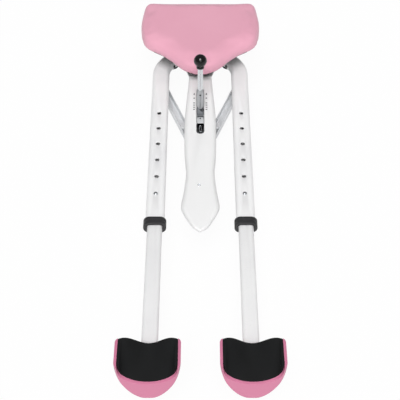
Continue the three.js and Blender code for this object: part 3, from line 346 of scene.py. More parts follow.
def make_plywood():
    """Black-stained plywood: the grain shows through the stain."""
    look = surface("stained_plywood")
    grain = look.noise(look.coordinates((60, 4, 60)), 12, 6, 0.7)
    look.set({
        "Base Color": look.blend(look.remap(grain, 0, 1), linear(38, 36, 36), linear(62, 56, 54)),
        "Roughness": look.remap(grain, 0.6, 0.8),
        "Normal": look.bump(grain, 0.0002, 0.4),
    })
    return look.owner


def make_glossy_black():
    return coated("polished_black", linear(16, 16, 17), 0.14, 0, 0.2, 40, 1800, 0.000004, 0.03,
                  extra={"Specular IOR Level": 0.28, "Coat Weight": 0.15, "Coat Roughness": 0.05})


FINISH = {
    "white_steel": make_powder_coat(),
    "white_cover": coated("white_moulding", grey(242), 0.38, 0, 0.015, 8, 1300, 0.00002),
    "grey_steel": make_zinc(),
    "dark_steel": coated("black_oxide", linear(70, 72, 75), 0.45, 0.8, 0.2, 60, 1200, 0.00003),
    "bright_steel": make_brushed("bright_plating", linear(226, 229, 232), 0.2),
    "black_plastic": coated("black_moulding", linear(42, 42, 44), 0.5, 0, 0.1, 30, 1500, 0.00006),
    "gloss_black": make_glossy_black(),
    "rubber": coated("black_rubber", linear(40, 40, 42), 0.8, 0, 0.15, 45, 700, 0.00008),
    "foam": make_foam(),
    "pink_vinyl": make_vinyl(),
    "pink_shell": make_shell_pink(),
    "board": make_plywood(),
}
MARK_INK = coated("mark_ink", linear(92, 94, 98), 0.5, 0, 0.1, 60, 900, 0.00001)
FERRULE_STEEL = make_brushed("ferrule_steel", linear(196, 198, 201), 0.34)


# Mesh tools. Sharp edges are rounded by a small bevel. The rollers are open at their bore.

MERGE = 0.01 * MM


def link(name, mesh, slot):
    piece = bpy.data.objects.new(name, mesh)
    bpy.context.scene.collection.objects.link(piece)
    mesh.materials.append(FINISH[slot])
    return piece


def from_bmesh(name, shape, slot):
    bmesh.ops.remove_doubles(shape, verts=shape.verts, dist=MERGE)
    bmesh.ops.recalc_face_normals(shape, faces=shape.faces)
    mesh = bpy.data.meshes.new(name)
    shape.to_mesh(mesh)
    shape.free()
    return link(name, mesh, slot)


@contextmanager
def editing(piece):
    shape = bmesh.new()
    shape.from_mesh(piece.data)
    yield shape
    shape.to_mesh(piece.data)
    shape.free()


def loft(name, rings, slot, caps=True):
    """A skin through rings of points. Without caps, the last ring joins the first."""
    shape = bmesh.new()
    rows = [[shape.verts.new(point) for point in ring] for ring in rings]
    pairs = list(zip(rows, rows[1:]))
    if not caps:
        pairs.append((rows[-1], rows[0]))
    count = len(rings[0])
    for low, high in pairs:
        for index in range(count):
            after = (index + 1) % count
            shape.faces.new((low[index], low[after], high[after], high[index]))
    if caps:
        shape.faces.new(rows[0][::-1])
        shape.faces.new(rows[-1])
    return from_bmesh(name, shape, slot)


def lathe(name, profile, place, slot, axis="Z", segments=64):
    """A turned piece, from profile points (radius, height). Ends off the axis stay open."""
    shape = bmesh.new()
    turn = {"X": Matrix.Rotation(math.pi / 2, 4, "Y"), "Y": Matrix.Rotation(-math.pi / 2, 4, "X"),
            "Z": Matrix.Identity(4)}[axis]
    rows = []
    for step in range(segments):
        angle = 2 * math.pi * step / segments
        rows.append([shape.verts.new(turn @ Vector((r * math.cos(angle), r * math.sin(angle), h)))
                     for r, h in profile])
    for step in range(segments):
        here, after = rows[step], rows[(step + 1) % segments]
        for index in range(len(profile) - 1):
            low_radius, high_radius = profile[index][0], profile[index + 1][0]
            if low_radius and high_radius:
                shape.faces.new((here[index], after[index], after[index + 1], here[index + 1]))
            elif high_radius:
                shape.faces.new((here[index], after[index + 1], here[index + 1]))
            elif low_radius:
                shape.faces.new((here[index], after[index], here[index + 1]))
    piece = from_bmesh(name, shape, slot)
    piece.data.transform(Matrix.Translation(place))
    return piece


def prism(name, outline, bottom, top, slot="white_steel"):
    return loft(name, [[Vector((x, y, z)) for x, y in outline] for z in (bottom, top)], slot)


def apply_modifiers(piece):
    graph = bpy.context.evaluated_depsgraph_get()
    mesh = bpy.data.meshes.new_from_object(piece.evaluated_get(graph))
    piece.modifiers.clear()
    piece.data = mesh


def cut(piece, cutters, operation="DIFFERENCE"):
    """Boolean cuts, applied, after which the cutters are gone."""
    for cutter in cutters:
        modifier = piece.modifiers.new("cut", "BOOLEAN")
        modifier.operation = operation
        modifier.solver = "EXACT"
        modifier.object = cutter
        apply_modifiers(piece)
        bpy.data.objects.remove(cutter)


def join(piece, others):
    cut(piece, others, "UNION")


def add_bevel(piece, width, segments, angle):
    modifier = piece.modifiers.new("round", "BEVEL")
    modifier.width = width
    modifier.segments = segments
    modifier.limit_method = "ANGLE"
    modifier.angle_limit = math.radians(angle)
    return modifier


def soften(piece, width, segments=3, angle=34):
    """Rounds the piece's sharp edges and shades it smooth."""
    modifier = add_bevel(piece, width, segments, angle)
    modifier.miter_outer = "MITER_ARC"
    apply_modifiers(piece)
    smooth(piece, angle)


def smooth(piece, angle=34):
    limit = math.radians(angle)
    with editing(piece) as shape:
        for face in shape.faces:
            face.smooth = True
        for edge in shape.edges:
            edge.smooth = len(edge.link_faces) < 2 or edge.calc_face_angle(0) < limit


def split_faces(piece, sides=4):
    """Splits the faces with more sides, which a cut leaves, into triangles."""
    with editing(piece) as shape:
        many_sided = [face for face in shape.faces if len(face.verts) > sides]
        bmesh.ops.triangulate(shape, faces=many_sided)


def settle(piece, body, *nodes):
    """The piece rides on a body and stands for CAD nodes."""
    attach(piece, body)
    if nodes:
        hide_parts(*nodes)


def finish_turned(piece, angle, body, *nodes):
    smooth(piece, angle)
    settle(piece, body, *nodes)


def box_of(node):
    return [Vector(corner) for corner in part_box(node)]


def cylinder_cutter(x, y, bottom, top, radius, segments=48):
    return prism("cutter", circle(x, y, radius, segments), bottom, top)


def box_cutter(low, high):
    outline = [(low[0], low[1]), (high[0], low[1]), (high[0], high[1]), (low[0], high[1])]
    return prism("cutter", outline, low[2], high[2])


# Outlines and profiles

def arc(x, y, radius, start, turn, steps):
    """Points from the start angle on, round as far as turn."""
    angles = [start + turn * step / steps for step in range(steps + 1)]
    return [(x + radius * math.cos(angle), y + radius * math.sin(angle)) for angle in angles]


def circle(x, y, radius, segments=48):
    return arc(x, y, radius, 0, 2 * math.pi, segments)[:-1]


def rounded_rectangle(width, height, radius, steps=9):
    """Points counter-clockwise, with an arc at each corner."""
    points = []
    for corner, (across, up) in enumerate(((1, -1), (1, 1), (-1, 1), (-1, -1))):
        x, y = across * (width / 2 - radius), up * (height / 2 - radius)
        for step in range(steps + 1):
            angle = math.pi / 2 * (corner - 1 + step / steps)
            points.append((x + radius * math.cos(angle), y + radius * math.sin(angle)))
    return points


def capsule(start, end, radius, steps=20):
    away = math.atan2(end[1] - start[1], end[0] - start[0])
    return (arc(*start, radius, away + math.pi / 2, math.pi, steps)
            + arc(*end, radius, away - math.pi / 2, math.pi, steps))


def dome(radius, low, high, steps=8):
    """The rounded top of a profile, from its side at low to the axis at high."""
    points = []
    for step in range(1, steps):
        turn = math.pi / 2 * step / steps
        points.append((radius * math.cos(turn), low + (high - low) * math.sin(turn)))
    return points + [(0, high)]


def rounded_outline(corners, steps=10):
    """Points through corners (x, y, radius), each rounded by a quadratic curve."""
    points = []
    for index, (x, y, radius) in enumerate(corners):
        corner = Vector((x, y))
        before = Vector(corners[index - 1][:2]) - corner
        after = Vector(corners[(index + 1) % len(corners)][:2]) - corner
        reach = min(radius, before.length / 2, after.length / 2)
        start = corner + before.normalized() * reach
        end = corner + after.normalized() * reach
        for step in range(steps + 1):
            share = step / steps
            points.append(start.lerp(corner, share).lerp(corner.lerp(end, share), share))
    return points


def evenly(points, count):
    """The closed outline again, in steps of one length."""
    lengths = [(points[(i + 1) % len(points)] - point).length for i, point in enumerate(points)]
    total = sum(lengths)
    spaced, index, passed = [], 0, 0.0
    for step in range(count):
        target = total * step / count
        while passed + lengths[index] < target:
            passed += lengths[index]
            index += 1
        share = (target - passed) / lengths[index] if lengths[index] else 0
        spaced.append(points[index].lerp(points[(index + 1) % len(points)], share))
    return spaced


def inset(points, distance):
    """A counter-clockwise ring, moved inwards along its own normals."""
    moved = []
    for index, point in enumerate(points):
        along = (points[(index + 1) % len(points)] - points[index - 1]).normalized()
        moved.append(Vector((point.x - along.y * distance, point.y + along.x * distance)))
    return moved


def at_height(points, z):
    return [Vector((point.x, point.y, z)) for point in points]


# Seat. Its corners are places from the pivots and radii, in millimetres.

SEAT_CORNERS = (
    (28, -213, 34), (89, -142, 44), (136, -113, 34), (146, -45, 44), (136, 42, 17),
)
SEAT_MIDDLE_Y = PIVOT_Y - 50 * MM
SEAT_EDGE = 12 * MM
SEAT_CROWN = 5 * MM
SEAT_CROWN_POWER = 2.4
SEAT_HEM = 1 * MM
BOARD_INSET = 16 * MM
VOXEL = 5 * MM
SWELL = 3 * MM
PINNED_HEIGHT = 5 * MM
FIRM_HEIGHT = 7 * MM
PRESSURE = 4
SIMULATED_FRAMES = 20


def seat_outline(count):
    right = [(x * MM, PIVOT_Y + y * MM, r * MM) for x, y, r in SEAT_CORNERS]
    left = [(-x, y, r) for x, y, r in reversed(right)]
    return evenly(rounded_outline(right + left), count)


def raw_cushion(low, high, side_steps=6, edge_steps=8, top_steps=14):
    """The cushion before it is filled: upright sides, a round top edge and a low crown."""
    outline = seat_outline(160)
    top = high - SEAT_CROWN
    start, end = low + SEAT_HEM, top - SEAT_EDGE
    rings = [at_height(inset(outline, SEAT_HEM), low)]
    for step in range(side_steps + 1):
        rings.append(at_height(outline, start + (end - start) * step / side_steps))
    for step in range(1, edge_steps + 1):
        turn = math.pi / 2 * step / edge_steps
        rings.append(at_height(inset(outline, SEAT_EDGE * (1 - math.cos(turn))),
                               end + SEAT_EDGE * math.sin(turn)))
    centre = Vector((0, SEAT_MIDDLE_Y))
    brim = inset(outline, SEAT_EDGE)
    for step in range(1, top_steps):
        share = 1 - step / top_steps
        ring = [centre.lerp(point, share) for point in brim]
        rings.append(at_height(ring, top + SEAT_CROWN * (1 - share ** SEAT_CROWN_POWER)))
    return loft("seat_cushion_cover", rings, "pink_vinyl")


def fill_cushion(piece, pinned_below, ceiling):
    """Swells the cover with a short cloth simulation, in which no point moves past the swell."""
    remesh = piece.modifiers.new("even", "REMESH")
    remesh.mode = "VOXEL"
    remesh.voxel_size = VOXEL
    apply_modifiers(piece)
    rest = [vertex.co.copy() for vertex in piece.data.vertices]
    group = piece.vertex_groups.new(name="seated")
    group.add([i for i, place in enumerate(rest) if place.z < pinned_below], 1.0, "REPLACE")
    cloth = piece.modifiers.new("filled", "CLOTH")
    cloth.settings.use_pressure = True
    cloth.settings.uniform_pressure_force = PRESSURE
    cloth.settings.vertex_group_mass = group.name
    cloth.settings.effector_weights.gravity = 0
    cloth.settings.quality = 6
    cloth.point_cache.frame_start = 1
    cloth.point_cache.frame_end = SIMULATED_FRAMES
    for number in range(SIMULATED_FRAMES):
        bpy.context.scene.frame_set(number + 1)
    graph = bpy.context.evaluated_depsgraph_get()
    swollen = [vertex.co.copy() for vertex in piece.evaluated_get(graph).data.vertices]
    piece.modifiers.clear()
    bpy.context.scene.frame_set(1)
    for vertex, start, end in zip(piece.data.vertices, rest, swollen):
        move = end - start
        if move.length > SWELL:
            move = move.normalized() * SWELL
        place = start + move
        place.z = min(place.z, ceiling)
        vertex.co = place


def relax(piece, rounds, floor, factor=0.5):
    """Smooths a piece above the floor height."""
    with editing(piece) as shape:
        for _ in range(rounds):
            bmesh.ops.smooth_vert(shape, verts=[v for v in shape.verts if v.co.z > floor],
                                  factor=factor, use_axis_x=True, use_axis_y=True, use_axis_z=True)


def subdivide(piece, levels=1):
    modifier = piece.modifiers.new("fine", "SUBSURF")
    modifier.levels = levels
    modifier.render_levels = levels
    apply_modifiers(piece)


def stretch_to(piece, low, high):
    """Stretches a piece so that it fills a box exactly."""
    places = [vertex.co for vertex in piece.data.vertices]
    first = Vector([min(place[axis] for place in places) for axis in range(3)])
    last = Vector([max(place[axis] for place in places) for axis in range(3)])
    for place in places:
        for axis in range(3):
            share = (place[axis] - first[axis]) / (last[axis] - first[axis])
            place[axis] = low[axis] + (high[axis] - low[axis]) * share


def make_seat():
    low, high = box_of("seat_cushion")
    cushion = raw_cushion(low.z, high.z)
    fill_cushion(cushion, low.z + PINNED_HEIGHT, high.z)
    relax(cushion, 1, low.z + SEAT_HEM)
    relax(cushion, 2, low.z + FIRM_HEIGHT)
    subdivide(cushion)
    stretch_to(cushion, low, high)
    smooth(cushion, 80)
    settle(cushion, "frame", "seat_cushion")


def make_seat_board():
    low, high = box_of("seat_board")
    outline = inset(seat_outline(180), BOARD_INSET)
    board = loft("seat_board_ply", [at_height(outline, low.z), at_height(outline, high.z)], "board")
    soften(board, ROUNDING["board"])
    settle(board, "frame", "seat_board")


# Legs

def leg_stations(side, end_y):
    """The leg's centre line: out from the pivot, round the knee and the bend, then straight."""
    stations = [(PIVOT_X, PIVOT_Y, HUB_TURN)]
    stations += rounded_corner((KNEE_X, KNEE_Y), HUB_TURN, BEND_TURN, KNEE_RADIUS, 8)
    stations += rounded_corner((LEG_X, CORNER_Y), BEND_TURN, 0, BEND_RADIUS, 24)
    stations.append((LEG_X, end_y, 0))
    return [(side * x, y, side * turn) for x, y, turn in stations]


def rounded_corner(corner, start_turn, end_turn, radius, steps):
    way = math.copysign(1, end_turn - start_turn)
    tangent = radius * math.tan(abs(end_turn - start_turn) / 2)
    start_x = corner[0] - tangent * math.sin(start_turn)
    start_y = corner[1] + tangent * math.cos(start_turn)
    places = []
    for step in range(steps + 1):
        turn = start_turn + (end_turn - start_turn) * step / steps
        places.append((start_x + way * radius * (math.cos(start_turn) - math.cos(turn)),
                       start_y + way * radius * (math.sin(start_turn) - math.sin(turn)), turn))
    return places


def tube_along(name, stations, section, slot="white_steel"):
    rings = [[Vector((x + across * math.cos(turn), y + across * math.sin(turn), LEG_MIDDLE + up))
              for across, up in section] for x, y, turn in stations]
    return loft(name, rings, slot)


def straight_tube(name, side, start_y, end_y, section, slot="white_steel"):
    x = side * LEG_X
    return tube_along(name, [(x, start_y, 0), (x, end_y, 0)], section, slot)


def outer_section(grow):
    """The outer tube's section, larger by grow in all."""
    return rounded_rectangle(LEG_WIDTH + grow, LEG_HEIGHT + grow, LEG_CORNER)


def inner_section(grow):
    return rounded_rectangle(INNER_WIDTH + grow, INNER_HEIGHT + grow, INNER_CORNER)


def make_outer_tube(name, side):
    body = tube_along(f"leg_tube_{name}", leg_stations(side, LEG_END), outer_section(0))
    x = side * PIVOT_X
    pin_x, pin_y = side * STRUT_PIVOT_X, STRUT_PIVOT_Y
    bore = rounded_rectangle(LEG_WIDTH - 2 * LEG_WALL, LEG_HEIGHT - 2 * LEG_WALL,
                             LEG_CORNER - LEG_WALL)
    cut(body, [tube_along("hollow", leg_stations(side, LEG_END - LONG_OVERRUN), bore)])
    join(body, [
        cylinder_cutter(x, PIVOT_Y, LEG_BOTTOM, LEG_TOP, LEG_WIDTH / 2),
        cylinder_cutter(x, PIVOT_Y, HUB_BOTTOM, HUB_TOP, HUB_RADIUS),
        cylinder_cutter(pin_x, pin_y, BOSS_BOTTOM, LEG_BOTTOM + LEG_WALL, BOSS_RADIUS),
    ])
    holes = [cylinder_cutter(side * LEG_X, BUTTON_Y + step * HOLE_PITCH, LEG_MIDDLE,
                             LEG_TOP + LONG_OVERRUN, HOLE_RADIUS) for step in range(HOLE_COUNT)]
    seat_radius = CAP_RADIUS + FIT
    cap_seat = [(0, -CAP_SEAT), (seat_radius, -CAP_SEAT), (seat_radius, LONG_OVERRUN),
                (0, LONG_OVERRUN)]
    cut(body, [
        cylinder_cutter(x, PIVOT_Y, HUB_BOTTOM - OVERRUN, HUB_TOP + OVERRUN, BUSH_RADIUS),
        cylinder_cutter(pin_x, pin_y, BOSS_BOTTOM - OVERRUN, LEG_BOTTOM + 2 * LEG_WALL,
                        PIN_RADIUS),
        *holes,
        on_bend_inside("seat", cap_seat, side),
    ])
    soften(body, ROUNDING["outer_tube"], 2)
    settle(body, f"{name}_leg", f"outer_tube_{name}")


COLLAR_CORNER = 13.5 * MM
GROOVE_DEPTH = 0.6 * MM
# From the collar's end back: the groove, and the core that is left inside it.
GROOVE_START = 7 * MM
GROOVE_END = 8.4 * MM
CORE_START = 6 * MM
CORE_END = 9 * MM


def make_collar(name, side):
    """A moulded sleeve over the tube's end, with a shallow groove round it."""
    low, high = box_of(f"tube_collar_{name}")
    width, height = high.x - low.x, high.z - low.z
    body = straight_tube(f"collar_{name}", side, high.y, low.y,
                         rounded_rectangle(width, height, COLLAR_CORNER), "black_plastic")
    room = straight_tube("room", side, high.y + OVERRUN, LEG_END - FIT, outer_section(2 * FIT))
    guide = straight_tube("guide", side, high.y + OVERRUN, low.y - OVERRUN,
                          inner_section(GUIDE_ROOM))
    outside = rounded_rectangle(width + 2 * OVERRUN, height + 2 * OVERRUN, COLLAR_CORNER)
    inside = rounded_rectangle(width - 2 * GROOVE_DEPTH, height - 2 * GROOVE_DEPTH,
                               COLLAR_CORNER - GROOVE_DEPTH)
    groove = straight_tube("groove", side, high.y - GROOVE_START, high.y - GROOVE_END, outside)
    cut(groove, [straight_tube("core", side, high.y - CORE_START, high.y - CORE_END, inside)])
    cut(body, [room, guide, groove])
    soften(body, ROUNDING["collar"])
    split_faces(body)
    settle(body, f"{name}_leg", f"tube_collar_{name}")


CAP_RADIUS = 3.4 * MM
CAP_HEIGHT = 2.8 * MM
CAP_RIM_SHARE = 0.35
CAP_SEAT = 1 * MM
CAP_TURN_SHARE = 0.8


def on_bend_inside(name, profile, side):
    """A turned piece that stands on the inner side of the tube's bend."""
    piece = lathe(name, profile, Vector(), "black_plastic", axis="X", segments=40)
    reach = BEND_RADIUS - LEG_WIDTH / 2
    turn = CAP_TURN_SHARE * BEND_TURN
    if side < 0:
        turn = math.pi - turn
    centre = Vector((side * BEND_CENTRE.x, BEND_CENTRE.y, LEG_MIDDLE))
    piece.data.transform(Matrix.Diagonal((-1, 1, 1, 1)))
    piece.data.flip_normals()
    piece.data.transform(Matrix.Translation(centre) @ Matrix.Rotation(turn, 4, "Z")
                         @ Matrix.Translation((reach, 0, 0)))
    return piece


def make_bolt_cap(name, side):
    foot, rim = FIT - CAP_SEAT, CAP_HEIGHT * CAP_RIM_SHARE
    profile = [(0, foot), (CAP_RADIUS, foot), (CAP_RADIUS, rim),
               *dome(CAP_RADIUS, rim, CAP_HEIGHT)]
    cap = on_bend_inside(f"cap_{name}", profile, side)
    finish_turned(cap, 50, f"{name}_leg", f"bolt_cap_{name}")


BUTTON_RADIUS = 4.6 * MM
BUTTON_FLANGE = 7 * MM
BUTTON_FLANGE_HEIGHT = 1.6 * MM
BUTTON_DOME = 2.2 * MM


def make_inner_tube(name, side):
    low, high = box_of(f"inner_tube_{name}")
    body = straight_tube(f"sliding_tube_{name}", side, high.y, low.y, inner_section(0))
    bore = rounded_rectangle(INNER_WIDTH - 2 * INNER_WALL, INNER_HEIGHT - 2 * INNER_WALL,
                             INNER_CORNER - INNER_WALL)
    hollow = straight_tube("hollow", side, high.y + OVERRUN, low.y - OVERRUN, bore)
    hole = cylinder_cutter(side * LEG_X, BUTTON_Y, LEG_MIDDLE, LEG_TOP, BUTTON_RADIUS + FIT)
    cut(body, [hollow, hole])
    soften(body, ROUNDING["inner_tube"], 2)
    settle(body, f"{name}_extension", f"inner_tube_{name}")


def make_button(name, side):
    low, high = box_of(f"snap_button_{name}")
    shelf, shoulder = low.z + BUTTON_FLANGE_HEIGHT, high.z - BUTTON_DOME
    profile = [(0, low.z), (BUTTON_FLANGE, low.z), (BUTTON_FLANGE, shelf), (BUTTON_RADIUS, shelf),
               (BUTTON_RADIUS, shoulder), *dome(BUTTON_RADIUS, shoulder, high.z)]
    button = lathe(f"button_{name}", profile, Vector((side * LEG_X, BUTTON_Y, 0)), "bright_steel")
    finish_turned(button, 50, f"{name}_button", f"snap_button_{name}")


def make_strut(name, side):
    start = Vector((side * PIVOT_X, 2 * STRUT_PIVOT_Y - PIVOT_Y))
    end = Vector((side * STRUT_PIVOT_X, STRUT_PIVOT_Y))
    tail = start + (start - end).normalized() * STRUT_TAIL
    top = STRUT_BOTTOM + STRUT_HEIGHT
    body = prism(f"channel_{name}", capsule(tail, end, STRUT_RADIUS), STRUT_BOTTOM, top,
                 "grey_steel")
    hollow = prism("hollow", capsule(tail, end, STRUT_RADIUS - STRUT_WALL),
                   STRUT_BOTTOM + STRUT_WALL, top + OVERRUN)
    cut(body, [hollow, *(cylinder_cutter(x, y, STRUT_BOTTOM - OVERRUN, top, PIN_RADIUS)
                         for x, y in (start, end))])
    soften(body, ROUNDING["strut"])
    settle(body, f"{name}_strut", f"strut_{name}")


# Foot cups: the section between the outside and the scoop, run between bulged ends.

CUP_WIDTH = 120 * MM
CUP_RIM = 5 * MM
CUP_BULGE = 9 * MM
CUP_CORNER = 14 * MM
CUP_FAR_CORNER = 7 * MM
CUP_SIDE_POWER = 1.45
CUP_BOTTOM = 62 * MM
CUP_COLUMNS = 72
CUP_FIT = 0.1 * MM
SCOOP_POWER = 2.5
NEAR_DIP = 34 * MM
FAR_DIP = 26 * MM
SOCKET_END = 12 * MM
POCKET_OVERRUN = 20 * MM
PAD_THICKNESS = 7 * MM
PAD_EDGE = 5 * MM


def cup_end(x, half, corner):
    """How far an end of the cup stands out at x: a bulge that rolls off at the corner."""
    share = min(1.0, abs(x) / half)
    reach = CUP_BULGE * (1 - share * share)
    past = abs(x) - (half - corner)
    if past > 0:
        reach -= corner - math.sqrt(max(0.0, corner * corner - past * past))
    return reach


def cup_rows(lower, upper, inset, near, far, x0, levels=6, lengths=26):
    """A closed skin round the band between two section curves with as many points each."""
    half = CUP_WIDTH / 2 - inset

    def place(low, high, down, along):
        """Down goes from the upper curve to the lower one, along from the near end to the far."""
        x = high[0] + (low[0] - high[0]) * down
        z = high[1](along) + (low[1](along) - high[1](along)) * down
        start = near + CUP_BULGE - cup_end(x, half, CUP_CORNER - inset)
        end = far - CUP_BULGE + cup_end(x, half, CUP_FAR_CORNER - inset)
        return Vector((x0 + x, start + (end - start) * along, z))

    way = [(0, step / lengths) for step in range(lengths + 1)]
    way += [(level / levels, 1) for level in range(1, levels)]
    way += [(1 - down, 1 - along) for down, along in way]
    shape = bmesh.new()
    columns = [[shape.verts.new(place(low, high, down, along)) for down, along in way]
               for low, high in zip(lower, upper)]
    for left, right in zip(columns, columns[1:]):
        for index in range(len(left)):
            after = (index + 1) % len(left)
            shape.faces.new((left[index], right[index], right[after], left[after]))
    shape.faces.new(columns[0])
    shape.faces.new(columns[-1][::-1])
    return shape


def flat(z):
    return lambda along: z


def scoop(x, half, rim, lower):
    """The trough's height along the cup: squarish at the near end, a soft wave at the far end."""
    share = min(1.0, abs(x) / half)
    near = (NEAR_DIP + lower) * (1 - share ** SCOOP_POWER) ** (1 / SCOOP_POWER)
    far = (FAR_DIP + lower) * (1 + math.cos(math.pi * share)) / 2
    return lambda along: rim - near - (far - near) * along


def scoop_curve(half, rim, lower):
    places = [half * (-1 + 2 * index / CUP_COLUMNS) for index in range(CUP_COLUMNS + 1)]
    return [(x, scoop(x, half, rim, lower)) for x in places]


def outside_curve(half, rim, floor):
    """The outside, from one rim down to a round bottom, cut flat at the floor, and up again."""
    curve = []
    for index in range(CUP_COLUMNS + 1):
        turn = math.pi * index / CUP_COLUMNS
        z = rim - (rim - CUP_BOTTOM) * math.sin(turn) ** (2 / CUP_SIDE_POWER)
        curve.append((-half * math.cos(turn), flat(max(z, floor))))
    return curve


def pad_room(side, rim, near, far):
    """What the pad fills: from the scoop's floor up past the rim, drawn in by the rim's width."""
    lower = scoop_curve(CUP_WIDTH / 2 - CUP_RIM, rim, PAD_THICKNESS)
    upper = [(x, flat(rim + LONG_OVERRUN)) for x, _ in lower]
    shape = cup_rows(lower, upper, CUP_RIM, near, far, side * LEG_X, 3)
    return from_bmesh("room", shape, "pink_shell")


def make_cup(name, side):
    low, high = box_of(f"foot_cup_{name}")
    lower = outside_curve(CUP_WIDTH / 2, high.z, low.z)
    upper = scoop_curve(CUP_WIDTH / 2 - CUP_RIM - CUP_FIT, high.z, 0)
    shape = cup_rows(lower, upper, 0, low.y, high.y, side * LEG_X)
    shell = from_bmesh(f"cup_shell_{name}", shape, "pink_shell")
    pocket = pad_room(side, high.z, low.y + CUP_RIM, high.y + POCKET_OVERRUN)
    socket = straight_tube("socket", side, high.y + LONG_OVERRUN, low.y + SOCKET_END,
                           inner_section(2 * FIT))
    cut(shell, [pocket, socket])
    soften(shell, ROUNDING["cup"], angle=40)
    settle(shell, f"{name}_extension", f"foot_cup_{name}")


def make_pad(name, side):
    low, high = box_of(f"foot_pad_{name}")
    inset = CUP_RIM + FIT
    half = CUP_WIDTH / 2 - inset
    lower = scoop_curve(half, high.z, PAD_THICKNESS - FIT)
    upper = scoop_curve(half - PAD_EDGE, high.z, 0)
    shape = cup_rows(lower, upper, inset, low.y, high.y, side * LEG_X, 3)
    pad = from_bmesh(f"foam_pad_{name}", shape, "foam")
    soften(pad, ROUNDING["pad"], angle=40)
    settle(pad, f"{name}_extension", f"foot_pad_{name}")


# Rollers and feet

ROLLER_BORE = 4.4 * MM
ROLLER_HUB = 9 * MM
ROLLER_SLOPE = 1 * MM
ROLLER_GROOVE = 1.6 * MM
ROLLER_EDGE = 3.4 * MM
SOLE_EDGE = 1.2 * MM
# The sole's lower edge, in millimetres inwards and up.
SOLE_EDGE_PLACES = ((2.5, 0), (0.7, 0.8), (0, 2.6))


def make_roller(name, side):
    low, high = box_of(f"roller_{name}")
    radius, half = (high.z - low.z) / 2, (high.y - low.y) / 2
    rim, groove = radius - ROLLER_EDGE, ROLLER_GROOVE - half
    half_profile = [(ROLLER_BORE, -half), (ROLLER_HUB, -half), (ROLLER_HUB + ROLLER_SLOPE, groove),
                    (rim - ROLLER_SLOPE, groove), (rim, -half)]
    half_profile += arc(rim, ROLLER_EDGE - half, ROLLER_EDGE, -math.pi / 2, math.pi / 2, 8)
    profile = half_profile + [(r, -h) for r, h in reversed(half_profile)]
    wheel = lathe(f"wheel_{name}", profile, (low + high) / 2, "rubber", axis="Y")
    finish_turned(wheel, 40, f"{name}_roller", f"roller_{name}")


def make_rear_foot(name):
    low, high = box_of(f"rear_foot_{name}")
    radius, top = (high.x - low.x) / 2, high.z
    edge = [(radius - inward * MM, up * MM) for inward, up in SOLE_EDGE_PLACES]
    profile = [(0, 0), *edge, (radius, top - SOLE_EDGE), (radius - SOLE_EDGE, top), (0, top)]
    middle = (low + high) / 2
    foot = lathe(f"sole_{name}", profile, Vector((middle.x, middle.y, 0)), "rubber")
    finish_turned(foot, 50, "frame", f"rear_foot_{name}")


STAND_RADIUS = 14 * MM
FLANGE_THICKNESS = 3 * MM
# The weld under the stand's flange, in millimetres: outwards from the post, and down from the top.
WELD_PLACES = ((0, 7), (2.5, 4.6))
STAND_FOOT_BORE = 14.3 * MM
STAND_FOOT_DEPTH = 10 * MM
# The stand's foot, in millimetres: inwards from its radius, and up from the floor or the top.
FOOT_LOWER_PLACES = ((2.5, 0), (0, 2.5), (0.5, 5))
FOOT_UPPER_PLACES = ((2.5, -1.5), (4, 0))


def make_stand():
    low, high = box_of("front_stand")
    middle, flange = (low + high) / 2, (high.x - low.x) / 2
    under = high.z - FLANGE_THICKNESS
    weld = [(STAND_RADIUS + out * MM, high.z - down * MM) for out, down in WELD_PLACES]
    profile = [(0, low.z), (STAND_RADIUS, low.z), *weld, (flange - MM, under - MM),
               (flange, under), (flange, high.z), (0, high.z)]
    stand = lathe("stand_post", profile, Vector((middle.x, middle.y, 0)), "white_steel")
    finish_turned(stand, 40, "frame", "front_stand")


def make_stand_foot():
    low, high = box_of("front_foot")
    middle, radius = (low + high) / 2, (high.x - low.x) / 2
    seat = high.z - STAND_FOOT_DEPTH
    profile = [(0, 0)]
    profile += [(radius - inward * MM, up * MM) for inward, up in FOOT_LOWER_PLACES]
    profile += [(radius - inward * MM, high.z + up * MM) for inward, up in FOOT_UPPER_PLACES]
    profile += [(STAND_FOOT_BORE, high.z), (STAND_FOOT_BORE, seat), (0, seat)]
    foot = lathe("stand_sole", profile, Vector((middle.x, middle.y, 0)), "rubber")
    finish_turned(foot, 50, "frame", "front_foot")


# Housing. Its outline's shares are of the length, from the seat's end, and of the half width.

OUTLINE_SHARES = (
    (0, 0.66), (0.12, 0.745), (0.31, 0.875), (0.52, 0.86), (0.65, 0.76), (0.77, 0.87),
    (0.853, 1), (0.896, 0.88), (0.945, 0.6), (0.98, 0.34), (1, 0),
)
HOUSING_REAR = PIVOT_Y - 174 * MM
HOUSING_TIP = PIVOT_Y - 684 * MM
HOUSING_KEEL_TIP = PIVOT_Y - 630 * MM
HOUSING_WIDTH = 81 * MM
HOUSING_BOTTOM = 71 * MM
HOUSING_TOP = 125 * MM
HOUSING_WALL = 2.5 * MM
HOUSING_EDGE = 13 * MM
SLOT_WIDTH = 17.6 * MM
SLOT_FRONT = PIVOT_Y - 386 * MM
SLOT_REAR = PIVOT_Y - 226 * MM
SLOT_DEPTH = 10 * MM
PLATE_ROOM_HALF = 50 * MM
PLATE_ROOM_FRONT = PIVOT_Y - 190.3 * MM
PLATE_ROOM_BOTTOM = 103.4 * MM
PLATE_ROOM_TOP = 108 * MM
DOOR_HALF = 22.3 * MM
DOOR_TOP = 104 * MM
DOOR_DEPTH = 7.5 * MM


